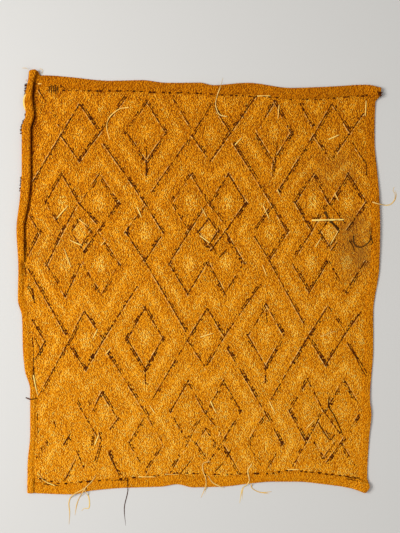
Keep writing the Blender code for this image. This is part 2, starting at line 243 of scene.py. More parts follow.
def edge_table(first, rows, last, axis):
    """An edge's points in order, with the axis that it runs along first."""
    return sorted((row[axis], row[1 - axis]) for row in [first, *rows, last])


EDGES = {
    "top": edge_table(CORNERS["top_left"], TOP_EDGE, CORNERS["top_right"], 0),
    "low": edge_table(CORNERS["bottom_left"], BOTTOM_EDGE, CORNERS["bottom_right"], 0),
    "left": edge_table(CORNERS["bottom_left"], LEFT_EDGE, CORNERS["top_left"], 1),
    "right": edge_table(CORNERS["bottom_right"], RIGHT_EDGE, CORNERS["top_right"], 1),
}


def on_edge(name, share):
    """Points of one edge, as x and y, at shares of its length."""
    table = EDGES[name]
    along = mix(table[0][0], table[-1][0], share)
    (off,) = through(table, along)
    return (along * MM, off * MM) if name in ("top", "low") else (off * MM, along * MM)


def on_panel(across, along):
    """Places on the panel, from its left and bottom edge, to their real x and y."""
    u, v = across / PANEL_WIDTH, along / PANEL_LENGTH
    top, low, left, right = (
        on_edge(name, share) for name, share in (("top", u), ("low", u), ("left", v), ("right", v))
    )
    found = []
    for axis in (0, 1):
        corner = {name: place[axis] * MM for name, place in CORNERS.items()}
        corners = mix(
            mix(corner["bottom_left"], corner["bottom_right"], u),
            mix(corner["top_left"], corner["top_right"], u),
            v,
        )
        found.append(mix(low[axis], top[axis], v) + mix(left[axis], right[axis], u) - corners)
    return found


def lift(x, y):
    """Height of the panel's underside over the plane that it lies on."""
    height = np.zeros_like(x)
    for x_mm, y_mm, rise_mm, reach_x, reach_y in LIFTS:
        away = np.hypot((x / MM - x_mm) / reach_x, (y / MM - y_mm) / reach_y)
        height = np.maximum(height, rise_mm * MM * (1 - smooth(away / 2)))
    ends = smooth((y - CREASE_LOW) / CREASE_FADE) * smooth((CREASE_HIGH - y) / CREASE_FADE)
    ridge = 1 - smooth(abs(x - CREASE_X) / CREASE_WIDTH)
    return np.maximum(height, CREASE_HEIGHT * ridge * ends)


def turned_over(start, centre, level, turn, back):
    """Plain hem: how far out and how high cloth is that goes round a half turn."""
    reach = centre - level
    return start + reach * np.sin(math.pi * turn) - back, centre - reach * np.cos(math.pi * turn)


def right_hem_stack(x):
    """Thickness of all layers across the panel, with the right hem's."""
    inner = PANEL_WIDTH - RIGHT_HEM
    return mix(CLOTH, 2 * CLOTH + LAYER_GAP, smooth((x - inner) / HEM_RAMP + 1))


def end_hem_stack(y):
    """Thickness of all layers up the panel, with the top and bottom hems'."""
    above = smooth((y - PANEL_LENGTH + TOP_HEM) / HEM_RAMP + 1)
    below = smooth((BOTTOM_HEM - y) / HEM_RAMP + 1)
    return mix(CLOTH, 2 * CLOTH + LAYER_GAP, np.maximum(above, below))


def rolled_in(share, level, y):
    """Left edge: a turn up and over, then a second one in under the first.

    share runs from the flat cloth to the raw edge. Gives the distance from the
    outermost line of the edge, the height, and the length of cloth so far.
    """
    stack = end_hem_stack(y)
    real_y = mix(CORNERS["bottom_left"][1], CORNERS["top_left"][1], y / PANEL_LENGTH)
    width, height, tucked = through(LEFT_ROLL, real_y)
    layers = np.where(tucked > 0, 3, 2)
    width, height = width * MM, height * MM
    height = np.maximum(height, layers * stack + (layers - 1) * LAYER_GAP)
    slack = np.maximum(0.0, height - 3 * stack - 2 * LAYER_GAP)
    inner_floor = stack + LAYER_GAP + TUCK_DROP * slack
    outer = height / 2
    inner = np.where(layers == 2, outer, (height - inner_floor) / 2)
    width = np.maximum(width, outer + inner + LEAST_RUN)
    run = width - inner - outer
    first_turn = math.pi * (outer - stack / 2)
    second_turn = math.pi * np.maximum(inner - stack / 2, LAYER_GAP)
    at = share * (first_turn + run + tucked * (second_turn + run))
    angle = math.pi * np.minimum(at / first_turn, 1)
    after = at - first_turn
    back = after - run
    second = math.pi * np.clip(back / second_turn, 0, 1)
    middle = (height + inner_floor) / 2
    stages = [at < first_turn, (after < run) | (layers == 2), back < second_turn]
    across = np.select(
        stages,
        [outer - (outer - level) * np.sin(angle), outer + after,
         width - inner + (inner - level) * np.sin(second)],
        width - inner - (back - second_turn),
    )
    pressed = np.where(layers == 2, height - 2 * stack - SETTLED_GAP, 0.0) * smooth((share - 0.55) / 0.45)
    high = np.select(
        stages,
        [outer - (outer - level) * np.cos(angle), height - level - pressed,
         middle + (inner - level) * np.cos(second)],
        inner_floor + level,
    )
    return across, high, at


def even(start, end, steps):
    return list(np.linspace(start, end, steps + 1))


def mesh_lines(length, hem_before, hem_after, steps):
    """Places of the mesh lines on the flat cloth, close together where hems climb."""
    before = even(0, hem_before, STEPS_HEM) if hem_before else []
    ramp_before = even(hem_before, hem_before + HEM_RAMP, STEPS_RAMP) if hem_before else []
    start = hem_before + HEM_RAMP if hem_before else 0.0
    end = length - hem_after - HEM_RAMP
    ramp_after = even(end, end + HEM_RAMP, STEPS_RAMP)
    after = even(length - hem_after, length, STEPS_HEM)
    return sorted({round(x, 9) for x in before + ramp_before + even(start, end, steps) + ramp_after + after})


across_lines = (
    [("roll", 1 - i / STEPS_ROLL) for i in range(STEPS_ROLL)]
    + [("flat", x) for x in mesh_lines(PANEL_WIDTH, 0.0, RIGHT_HEM, STEPS_ACROSS)]
    + [("turn", i / STEPS_TURN) for i in range(1, STEPS_TURN + 1)]
    + [("hem", x) for x in even(0, RIGHT_HEM, STEPS_HEM)[1:]]
)
along_lines = (
    [("hem_low", y) for y in even(BOTTOM_HEM, 0, STEPS_HEM)[:-1]]
    + [("turn_low", 1 - i / STEPS_TURN) for i in range(STEPS_TURN)]
    + [("flat", y) for y in mesh_lines(PANEL_LENGTH, BOTTOM_HEM, TOP_HEM, STEPS_ALONG)]
    + [("turn", i / STEPS_TURN) for i in range(1, STEPS_TURN + 1)]
    + [("hem", y) for y in even(0, TOP_HEM, STEPS_HEM)[1:]]
)
COLUMN_KIND = np.array([kind for kind, amount in across_lines])[:, None]
COLUMN_AMOUNT = np.array([amount for kind, amount in across_lines])[:, None]
ROW_KIND = np.array([kind for kind, amount in along_lines])[None, :]
ROW_AMOUNT = np.array([amount for kind, amount in along_lines])[None, :]


def folded(level):
    """Where the whole grid of the flat cloth ends up once its four edges are turned.

    Gives x, y and z, and the cloth that lies between the left fold and each point.
    """
    thin = [
        np.where(COLUMN_KIND == "hem", smooth((COLUMN_AMOUNT - RIGHT_HEM) / THIN_EDGE + 1), 0.0),
        np.where(COLUMN_KIND == "roll", smooth((COLUMN_AMOUNT - 0.75) / 0.25), 0.0),
        np.where(ROW_KIND == "hem", smooth((ROW_AMOUNT - TOP_HEM) / THIN_EDGE + 1), 0.0),
        np.where(ROW_KIND == "hem_low", smooth((ROW_AMOUNT - BOTTOM_HEM) / THIN_EDGE + 1), 0.0),
    ]
    for part in thin:
        level = mix(level, CLOTH, EDGE_THINNING * part)

    kind, amount = COLUMN_KIND, COLUMN_AMOUNT
    centre = CLOTH + LAYER_GAP / 2
    turn = np.where(kind == "turn", amount, 1.0)
    back = np.where(kind == "hem", amount - centre, 0.0)
    across, height = turned_over(PANEL_WIDTH - centre, centre, level, turn, back)
    across = np.where(kind == "flat", np.minimum(amount, PANEL_WIDTH - centre), across)
    across = np.where(kind == "roll", 0.0, across)
    height = np.where((kind == "flat") | (kind == "roll"), level, height)

    kind, amount = ROW_KIND, ROW_AMOUNT
    centre = right_hem_stack(across) + LAYER_GAP / 2
    turn = np.where((kind == "turn") | (kind == "turn_low"), amount, 1.0)
    back = np.where((kind == "hem") | (kind == "hem_low"), amount - centre, 0.0)
    over, over_height = turned_over(PANEL_LENGTH - centre, centre, height, turn, back)
    under, under_height = turned_over(-centre, centre, height, turn, back)
    low = (kind == "hem_low") | (kind == "turn_low")
    flat = kind == "flat"
    along = np.where(flat, np.clip(amount, centre, PANEL_LENGTH - centre), np.where(low, -under, over))
    height = np.where(flat, height, np.where(low, under_height, over_height))

    across = across + 0 * along
    share = np.where(COLUMN_KIND == "roll", COLUMN_AMOUNT, 0.0) + 0 * along
    foot, foot_height, rolled = rolled_in(share, height, along)
    drawn = mix(foot, BESIDE_ROLL, np.clip(across / BESIDE_ROLL, 0, 1))
    is_roll = COLUMN_KIND == "roll"
    across = np.where(is_roll, foot, np.where(across < BESIDE_ROLL, drawn, across))
    height = np.where(is_roll, foot_height, height)
    x, y = on_panel(across, along)
    leaning = smooth((y - TIP_LEAN_FROM) / TIP_LEAN_REACH) * (1 - smooth(across / BESIDE_ROLL - 1))
    return x + TIP_LEAN * leaning, y, height + lift(x, y), rolled


# The chart of the pattern
# The sewn pattern is one repeat of lozenges and crossing straps, counted on the weave.
# On the wrong side its pile shows only as pale bands, paler lozenge hearts and broken
# dark lines. The cloth has stretched unevenly, so the repeat is set out on the places
# of its columns and rows.
REPEAT_WIDTH, REPEAT_HEIGHT = 189, 309
ROW_PLACES = [
    # row, y_mm
    (0.0, 384), (0.5, 225), (1.0, 76.5), (1.5, -81), (2.0, -240), (2.5, -399),
]
COLUMN_PLACES = [
    # y_mm, then x_mm of the columns -0.5, 0, 0.5, 1, 1.5, 2 and 2.5
    (-240, -250, -163, -76, 13, 102, 190, 284),
    (-81, -253, -168, -78, 13, 103, 194, 287),
    (76, -260, -175, -78, 17, 110, 198, 290),
    (225, -266, -177, -75, 21, 116, 201, 293),
]
FIRST_COLUMN, COLUMN_STEP = -0.5, 0.5
TILTED_ROW, TILT_FADE, TILT = 1.5, 0.5, 5.2      # the third row climbs by TILT for each column
BAND_HALF, HEART_WIDTH, HEART_HEIGHT = 3.0, 7.5, 11.5
HEART_END, HEART_FALL = 1.5, 0.8                 # as shares of a heart's size
HEART_STRENGTHS = [(0.5, 0.85), (0.8, 1.3), (1.25, 1.3), (1.5, 1.15), (1.8, 0.6)]       # row, strength
LINE_HALF = 4.0
NODES_ACROSS = [-0.5, 0, 0.5, 1, 1.5, 2, 2.5]
NODES_ALONG = [0, 0.5, 1, 1.5, 2, 2.5]
# Straight runs from each kind of node of the repeat, as x_mm and y_mm from that node
BANDS = {
    "cluster": [[
        (0, 81), (30, 109), (80, 45), (50, 0), (78, -45), (27, -124), (0, -86),
        (-27, -124), (-78, -45), (-50, 0), (-80, 45), (-30, 109), (0, 81),
    ]],
    "great": [[(0, 74), (48, 0), (0, -74), (-48, 0), (0, 74)]],
}
HEARTS = {
    "cluster": [(0, 0), (-28, 46), (28, 46), (-28, -46), (28, -46)],
    "single": [(0, -3)],
    "link": [(0, 0)],
    "great": [(0, 2)],
}
LINES = {
    "single": [
        [(0, 40), (-28, -3), (-84, -90)],
        [(3, 40), (28, 2)],
        [(-27, -6), (0, -44)],
        [(0, -44), (27, -3), (82, 75)],
    ],
    "link": [
        [(-60, 137), (0, 44), (28, -2)],
        [(0, 42), (-28, 0)],
        [(-28, 0), (0, -42), (63, -144)],
        [(0, -42), (28, 0)],
    ],
    "great": [
        [(0, 45), (28, 0), (0, -45), (-28, 0), (0, 45)],
        [(0, -45), (0, -66)],
    ],
    "cluster": [
        [(-56, 46), (-28, 90), (-2, 46), (24, 14)],
        [(-56, 46), (-30, 4)],
        [(56, 46), (28, 90), (2, 46)],
        [(56, 46), (28, 4), (5, -27)],
        [(-58, -46), (-29, -91), (-2, -46)],
        [(-58, -46), (-31, -3), (-6, 40)],
        [(56, -46), (28, -91), (2, -46)],
        [(56, -46), (28, -3)],
        [(0, 21), (15, 0), (0, -21), (-15, 0), (0, 21)],
    ],
}

# The lowest cluster at the left is drawn in and half worn away
WORN_NODE = (0, 2)
WORN_LINES = [
    [(24, 76), (49, 36), (37, 22)],
    [(24, 76), (10, 50)],
    [(-15, 60), (14, 12)],
    [(-31, 7), (-37, 1)],
    [(19, 14), (21, 4), (11, -25)],
    [(34, -14), (50, -45)],
    [(-21, -25), (-37, -54)],
    [(-18, -13), (-8, -33)],
]


def node_kind(column, row):
    """What stands at one node of the repeat."""
    if column % 1 == 0:
        return "cluster" if row % 1 == 0 else "single"
    return "link" if row % 1 == 0 else "great"


def column_places(y):
    """Where each column of the repeat stands at heights y, in millimetres."""
    table = np.array(COLUMN_PLACES, float)
    return [np.interp(y, table[:, 0], column) for column in table.T[1:]]


def tilt_of(row, column):
    return TILT * np.clip(1 - abs(row - TILTED_ROW) / TILT_FADE, 0, 1) * (column - 1)


def to_chart(x, y):
    """Columns and rows of the repeat, as fractions, at real places in millimetres."""
    places = column_places(y)
    column = FIRST_COLUMN + 0 * x
    for k, (a, b) in enumerate(zip(places, places[1:])):
        share = (x - a) / (b - a)
        low = -9 if k == 0 else 0
        high = 9 if k == len(places) - 2 else 1
        column = column + COLUMN_STEP * np.clip(share, low, high)
    rows = np.array(ROW_PLACES)
    row = np.interp(-y, -rows[:, 1], rows[:, 0])
    row = np.interp(-(y - tilt_of(row, column)), -rows[:, 1], rows[:, 0])
    return column, row


def from_chart(column, row):
    """Real place, in millimetres, of a fraction of a column and a row."""
    rows = np.array(ROW_PLACES)
    y = np.interp(row, rows[:, 0], rows[:, 1])
    places = column_places(y)
    k = int(np.clip((column - FIRST_COLUMN) // COLUMN_STEP, 0, len(places) - 2))
    share = (column - FIRST_COLUMN) / COLUMN_STEP - k
    return mix(places[k], places[k + 1], share), y + tilt_of(row, column)


def charted(table):
    """Every run of a table, at every node, in chart millimetres (x to the right, y up)."""
    found = []
    for column in NODES_ACROSS:
        for row in NODES_ALONG:
            runs = table.get(node_kind(column, row), [])
            if table is LINES and (column, row) == WORN_NODE:
                runs = WORN_LINES
            for run in runs:
                centre = (column * REPEAT_WIDTH, -row * REPEAT_HEIGHT)
                found.append([(centre[0] + x, centre[1] + y) for x, y in run])
    return found


def nearness(x, y, runs, reach):
    """How near each chart place is to the nearest run: 1 on it, and 0 at its reach."""
    nearest = np.full(x.shape, np.inf)
    for run in runs:
        for (ax, ay), (bx, by) in zip(run, run[1:]):
            dx, dy = bx - ax, by - ay
            t = np.clip(((x - ax) * dx + (y - ay) * dy) / (dx * dx + dy * dy), 0, 1)
            nearest = np.minimum(nearest, np.hypot(x - ax - t * dx, y - ay - t * dy))
    return smooth(1 - nearest / reach)


# The cloth's surface
# Plain weave of dyed raffia strips. The sewn pile behind it draws the cloth up a little
# along the pale bands and down along the dark lines, and the hems pucker at their
# stitches.
SWELL, SWELL_LENGTH = 0.5, 80         # mm
PUCKER, PUCKER_LENGTH = 0.06, 18
BAND_RISE, LINE_SINK = 0.1, 0.08
HEM_PUCKER, HEM_PUCKER_REACH = 0.55, 26
RELIEF_FADE = 5 * MM


def bumps(x, y, length, seed):
    """Smooth random heights of about -1 to 1, for each place of a grid in millimetres."""
    found = [noise.noise(Vector((a / length, b / length, seed))) for a, b in zip(x.flat, y.flat)]
    return 2 * np.array(found).reshape(x.shape)


def cloth_relief(x, y, pale, line):
    """How far the shown face of the cloth stands up at each point, in metres."""
    edges = np.minimum.reduce([
        PANEL_WIDTH - RIGHT_HEM - COLUMN_AMOUNT + 0 * x,
        PANEL_LENGTH - TOP_HEM - ROW_AMOUNT + 0 * x,
        ROW_AMOUNT - BOTTOM_HEM + 0 * x,
        COLUMN_AMOUNT - BESIDE_ROLL + 0 * x,
    ])
    flat = (COLUMN_KIND == "flat") & (ROW_KIND == "flat")
    inside = np.where(flat, smooth(edges / RELIEF_FADE), 0.0)
    near_hem = np.where(flat, 1 - smooth(edges / MM / HEM_PUCKER_REACH), 0.0)
    x, y = x / MM, y / MM
    height = SWELL * (1 + bumps(x, y, SWELL_LENGTH, 3)) / 2
    height += PUCKER * (1 + bumps(x, y, PUCKER_LENGTH, 8)) / 2
    height += HEM_PUCKER * near_hem * (1 + bumps(x, y, PUCKER_LENGTH, 12)) / 2
    height += BAND_RISE * pale - LINE_SINK * line
    return np.maximum(height, 0) * inside * MM


def cloth_mesh():
    """The panel as one closed sheet, with its pattern as attributes of its points."""
    under, upper = folded(0.0), folded(CLOTH)
    flat_across = np.where(COLUMN_KIND == "flat", COLUMN_AMOUNT, 0.0)
    flat_across = np.where(COLUMN_KIND == "turn", PANEL_WIDTH + COLUMN_AMOUNT * 2 * CLOTH, flat_across)
    flat_across = np.where(COLUMN_KIND == "hem", PANEL_WIDTH + 2 * CLOTH + COLUMN_AMOUNT, flat_across)
    flat_along = np.where(ROW_KIND == "flat", ROW_AMOUNT, 0.0)
    flat_along = np.where(ROW_KIND == "turn", PANEL_LENGTH + ROW_AMOUNT * 2 * CLOTH, flat_along)
    flat_along = np.where(ROW_KIND == "hem", PANEL_LENGTH + 2 * CLOTH + ROW_AMOUNT, flat_along)
    flat_along = np.where(ROW_KIND == "turn_low", -ROW_AMOUNT * 2 * CLOTH, flat_along)
    flat_along = np.where(ROW_KIND == "hem_low", -2 * CLOTH - ROW_AMOUNT, flat_along)
    flat_across = flat_across + 0 * under[0] - under[3]
    flat_along = flat_along + 0 * under[0]

    place_x, place_y = on_panel(flat_across, flat_along)
    column, row = to_chart(place_x / MM, place_y / MM)
    chart_x, chart_y = column * REPEAT_WIDTH, -row * REPEAT_HEIGHT
    pale = nearness(chart_x, chart_y, charted(BANDS), 2 * BAND_HALF)
    hearts = np.zeros_like(pale)
    for ((cx, cy),) in charted({kind: [[spot] for spot in spots] for kind, spots in HEARTS.items()}):
        away = np.hypot((chart_x - cx) / HEART_WIDTH, (chart_y - cy) / HEART_HEIGHT)
        strength = np.interp(-cy / REPEAT_HEIGHT, *np.array(HEART_STRENGTHS).T)
        hearts = np.maximum(hearts, strength * smooth((HEART_END - away) / HEART_FALL))
    line = nearness(chart_x, chart_y, charted(LINES), 2 * LINE_HALF)
    # painted shade: pale bands and hearts fade out beside the left roll, so that the roll's shade there stays dark
    beside = smooth((flat_across - BESIDE_ROLL) / BESIDE_ROLL)
    roll_width, roll_height, tucked = through(LEFT_ROLL, place_y / MM)
    from_roll = flat_across - roll_width * MM
    pale, hearts = pale * beside, hearts * beside
    turned = (COLUMN_KIND != "flat") | (ROW_KIND != "flat")
    plain = np.where(turned, 1.0, 0.0) + 0 * pale
    relief = cloth_relief(place_x, place_y, np.maximum(pale, hearts), line)

    count_across, count_along = pale.shape
    half_count = count_across * count_along
    index = np.arange(half_count).reshape(pale.shape)
    a, b, c, d = index[:-1, :-1], index[1:, :-1], index[1:, 1:], index[:-1, 1:]
    quads = [np.stack([a, d, c, b], -1).reshape(-1, 4)]
    quads.append(half_count + np.stack([a, b, c, d], -1).reshape(-1, 4))
    rims = [index[:, 0], index[-1, :], index[::-1, -1], index[0, ::-1]]
    for rim in rims:
        quads.append(np.stack([rim[:-1], rim[1:], half_count + rim[1:], half_count + rim[:-1]], -1))
    faces = np.concatenate(quads)
    points = np.concatenate([
        np.stack(under[:3], -1).reshape(-1, 3),
        np.stack([upper[0], upper[1], upper[2] + relief], -1).reshape(-1, 3),
    ])
    mesh = bpy.data.meshes.new("cloth")
    mesh.from_pydata(points.tolist(), [], faces.tolist())
    side = np.concatenate([np.zeros(half_count), np.ones(half_count)])
    for name, values in (
        ("pale", pale), ("heart", hearts), ("line", line), ("plain", plain), ("from_roll", from_roll),
        ("tucked", tucked),
    ):
        layer = mesh.attributes.new(name, "FLOAT", "POINT")
        layer.data.foreach_set("value", np.tile(values.ravel(), 2).astype(np.float32))
    shown = mesh.attributes.new("shown", "FLOAT", "POINT")
    shown.data.foreach_set("value", (side * (1 - np.tile(plain.ravel(), 2))).astype(np.float32))
    weave = mesh.uv_layers.new(name="weave")
    corner = np.zeros(len(mesh.loops), dtype=np.int32)
    mesh.loops.foreach_get("vertex_index", corner)
    places = np.stack([flat_across.ravel(), flat_along.ravel()], -1)[corner % half_count]
    weave.uv.foreach_set("vector", places.astype(np.float32).ravel())
    chart = mesh.uv_layers.new(name="chart")
    places = np.stack([chart_x.ravel() * MM, chart_y.ravel() * MM], -1)[corner % half_count]
    chart.uv.foreach_set("vector", places.astype(np.float32).ravel())
    mesh.polygons.foreach_set("use_smooth", np.ones(len(faces), dtype=bool))
    wrong_side = np.zeros(len(faces), dtype=np.int32)
    wrong_side[:len(quads[0])] = 1
    wrong_side[len(quads[0]) + len(quads[1]):] = 1
    mesh.polygons.foreach_set("material_index", wrong_side)
    mesh.update()
    return mesh


# The cloth's finish
# Raffia dyed ochre. Its tone is painted darker, and so browner, towards the top and lighter,
# and so yellower, towards the bottom: painted light, for the light that falls off towards the
# top. Each strip was dyed in its own way, so the weave is a fine speckle of upright flecks.
# The side that lies down has cut pile, and the hems show that side's bare margin. Painted
# light also lightens the left roll, and painted shade darkens the cloth beside it.
GRAIN_WIDTH, GRAIN_LENGTH, GRAIN_LEAN = 1.2 * MM, 1.55 * MM, 0.12
GRAIN_WANDER, GRAIN_CONTRAST = 1.0 * MM, 0.47
BAND_CORE, BAND_REACH, BAND_WANDER = 0.0 * MM, 8.6 * MM, 3 * MM
DEEP_OCHRE = from_srgb(100, 42, 0)
DULL_OCHRE = from_srgb(162, 84, 0)
OCHRE = from_srgb(220, 130, 2)
LIGHT_OCHRE = from_srgb(252, 172, 30)
STRAW = from_srgb(255, 210, 92)
OCHRE_STEPS = [(0.0, DEEP_OCHRE), (0.22, DULL_OCHRE), (0.5, OCHRE), (0.78, LIGHT_OCHRE), (1.0, STRAW)]
SMUDGE_BROWN = from_srgb(112, 74, 30)
DARK_PILE = from_srgb(52, 28, 14)
CLOTH_SHINE = 0.05
WRONG_SPREAD, WRONG_MIDDLE = 0.8, 0.435      # how far the flecks differ in tone, and their middle
RIGHT_SPREAD, RIGHT_MIDDLE = 0.62, 0.405
BAND_FLECKS, BAND_LIGHTER = 0.08, 0.09
HEART_FLECKS, HEART_LIGHTER = 0.18, 0.055
GAP_DARKER = -0.10
CREVICE_PAINTED_SHADE = [
    # painted shade beside the left roll: how far from the roll the cloth is darkened, where that starts, and how
    # much
    (4 * MM, 0.5 * MM, 0.3),
    (14 * MM, 0.0 * MM, 0.22),
]
ROLL_PAINTED_LIGHT = 0.05               # painted light: how much lighter the left roll is painted, against the shade on its rounded top, as a share of the tone's range
SMUDGES = [
    # x_mm, y_mm, reach_x_mm, reach_y_mm, strength
    (237, 54, 26, 46, 0.85),
    (205, 168, 40, 30, 0.35),
    (-205, 60, 40, 50, 0.2),
]


def new_group(name, inputs, outputs, kind="ShaderNodeTree"):
    """Node group; inputs and outputs are name: (socket type, value or None)."""
    tree = bpy.data.node_groups.new(name, kind)
    for way, sockets in (("INPUT", inputs), ("OUTPUT", outputs)):
        for socket, (holds, value) in sockets.items():
            made = tree.interface.new_socket(socket, in_out=way, socket_type="NodeSocket" + holds)
            if value is not None:
                made.default_value = value
    return tree, tree.nodes.new("NodeGroupInput").outputs, tree.nodes.new("NodeGroupOutput").inputs


def make_grain_group():
    """Upright raffia flecks: each has its own tone, a round top and a dark gap around it. A
    fleck is paler where its neighbours are dark, as threads that pass over and under are."""
    tree, given, gives = new_group(
        "raffia_grain",
        {
            "Place": ("Vector", None),
            "Width": ("Float", GRAIN_WIDTH),
            "Length": ("Float", GRAIN_LENGTH),
            "Lean": ("Float", GRAIN_LEAN),
            "Wander": ("Float", GRAIN_WANDER),
        },
        {"Tone": ("Float", None), "Gap": ("Float", None), "Height": ("Float", None)},
    )
    drift = add_node(tree, "ShaderNodeTexNoise", None, {"Vector": given["Place"], "Scale": 210, "Detail": 2})
    centred = add_node(
        tree, "ShaderNodeVectorMath", {"operation": "SUBTRACT"}, {0: drift.outputs["Color"], 1: (0.5, 0.5, 0.5)}
    )
    shift = add_node(
        tree, "ShaderNodeVectorMath", {"operation": "SCALE"}, {0: centred.outputs[0], "Scale": given["Wander"]}
    )
    moved = add_node(
        tree, "ShaderNodeVectorMath", {"operation": "ADD"}, {0: given["Place"], 1: shift.outputs[0]}
    )
    parts = add_node(tree, "ShaderNodeSeparateXYZ", None, {0: moved.outputs[0]})
    leaning = calc(tree, "MULTIPLY_ADD", parts.outputs["Y"], given["Lean"], parts.outputs["X"])
    column_at = calc(tree, "DIVIDE", leaning, given["Width"])
    column = calc(tree, "FLOOR", column_at)
    tones = []
    for neighbour in (-1, 1, 0):
        strip = calc(tree, "ADD", column, neighbour)
        start = add_node(tree, "ShaderNodeTexWhiteNoise", {"noise_dimensions": "1D"}, {"W": strip})
        row_at = calc(tree, "ADD", calc(tree, "DIVIDE", parts.outputs["Y"], given["Length"]), start.outputs["Value"])
        cell = add_node(tree, "ShaderNodeCombineXYZ", None, {"X": strip, "Y": calc(tree, "FLOOR", row_at)})
        random = add_node(tree, "ShaderNodeTexWhiteNoise", {"noise_dimensions": "2D"}, {"Vector": cell.outputs[0]})
        tones.append(random.outputs["Value"])
    left, right, own = tones
    besides = calc(tree, "MULTIPLY_ADD", calc(tree, "ADD", left, right), -GRAIN_CONTRAST / 2, GRAIN_CONTRAST / 2)
    tone = calc(tree, "ADD", own, besides)
    sides = []
    for place, power in ((column_at, 2), (row_at, 6)):
        centred_place = calc(tree, "MULTIPLY_ADD", calc(tree, "FRACT", place), 2, -1)
        away = calc(tree, "POWER", calc(tree, "ABSOLUTE", centred_place), power)
        sides.append(calc(tree, "SUBTRACT", 1, away))
    height = calc(tree, "MULTIPLY", *sides)
    tree.links.new(tone, gives["Tone"])
    tree.links.new(height, gives["Height"])
    gap = add_node(
        tree, "ShaderNodeMapRange", {"interpolation_type": "SMOOTHSTEP"},
        {"Value": height, "From Min": 0.0, "From Max": 0.45, "To Min": 1.0, "To Max": 0.0},
    )
    tree.links.new(gap.outputs[0], gives["Gap"])
    return tree


def make_distance_group():
    """How far a place is from a straight run."""
    tree, given, gives = new_group(
        "distance_to_run",
        {"Place": ("Vector", None), "Start": ("Vector", None), "End": ("Vector", None)},
        {"Distance": ("Float", None)},
    )
    run, away = (
        add_node(tree, "ShaderNodeVectorMath", {"operation": "SUBTRACT"}, {0: given[name], 1: given["Start"]})
        for name in ("End", "Place")
    )
    dots = [
        add_node(
            tree, "ShaderNodeVectorMath", {"operation": "DOT_PRODUCT"}, {0: other.outputs[0], 1: run.outputs[0]}
        ).outputs["Value"]
        for other in (away, run)
    ]
    share = add_node(tree, "ShaderNodeClamp", None, {0: calc(tree, "DIVIDE", *dots)})
    along = add_node(
        tree, "ShaderNodeVectorMath", {"operation": "SCALE"}, {0: run.outputs[0], "Scale": share.outputs[0]}
    )
    across = add_node(
        tree, "ShaderNodeVectorMath", {"operation": "DISTANCE"}, {0: away.outputs[0], 1: along.outputs[0]}
    )
    tree.links.new(across.outputs["Value"], gives["Distance"])
    return tree


def make_bands_group(distance_group):
    """Pale bands of the pattern. A place of the chart is folded into the right half of one
    repeat round its cluster, so each run is there once."""
    tree, given, gives = new_group(
        "pale_bands",
        {"Chart": ("Vector", None), "Wander": ("Float", BAND_WANDER)},
        {"Band": ("Float", None)},
    )
    uneven = add_node(tree, "ShaderNodeTexNoise", None, {"Vector": given["Chart"], "Scale": 160, "Detail": 2})
    parts = add_node(tree, "ShaderNodeSeparateXYZ", None, {0: given["Chart"]})
    half_width, half_height = REPEAT_WIDTH * MM / 2, REPEAT_HEIGHT * MM / 2
    x = calc(tree, "ABSOLUTE", calc(tree, "WRAP", parts.outputs["X"], half_width, -half_width))
    y = calc(tree, "WRAP", parts.outputs["Y"], half_height, -half_height)
    place = add_node(tree, "ShaderNodeCombineXYZ", None, {"X": x, "Y": y})
    runs = []
    for kind, centre_x, centre_y in (
        ("cluster", 0, 0),
        ("great", REPEAT_WIDTH / 2, REPEAT_HEIGHT / 2),
        ("great", REPEAT_WIDTH / 2, -REPEAT_HEIGHT / 2),
    ):
        for run in BANDS[kind]:
            run = [((centre_x + a) * MM, (centre_y + b) * MM, 0) for a, b in run]
            runs += [
                (start, end) for start, end in zip(run, run[1:])
                if 0 <= min(start[0], end[0]) and max(start[0], end[0]) <= half_width + MM
                and max(abs(start[1]), abs(end[1])) <= half_height + MM
            ]
    nearest = 1.0
    for start, end in runs:
        found = put_group(
            tree, distance_group, {"Place": place.outputs[0], "Start": start, "End": end}
        )["Distance"]
        nearest = calc(tree, "MINIMUM", nearest, found)
    shift = calc(tree, "MULTIPLY", calc(tree, "SUBTRACT", uneven.outputs["Fac"], 0.5), given["Wander"])
    band = add_node(
        tree, "ShaderNodeMapRange", {"interpolation_type": "SMOOTHSTEP"},
        {"Value": calc(tree, "ADD", nearest, shift), "From Min": BAND_CORE, "From Max": BAND_REACH,
         "To Min": 1.0, "To Max": 0.0},
    )
    patchy = add_node(tree, "ShaderNodeTexNoise", None, {"Vector": given["Chart"], "Scale": 45, "Detail": 1})
    full = add_node(
        tree, "ShaderNodeMapRange", None,
        {"Value": patchy.outputs["Fac"], "From Min": 0.3, "From Max": 0.7, "To Min": 0.45, "To Max": 1.45},
    )
    tree.links.new(calc(tree, "MULTIPLY", band.outputs[0], full.outputs[0]), gives["Band"])
    return tree


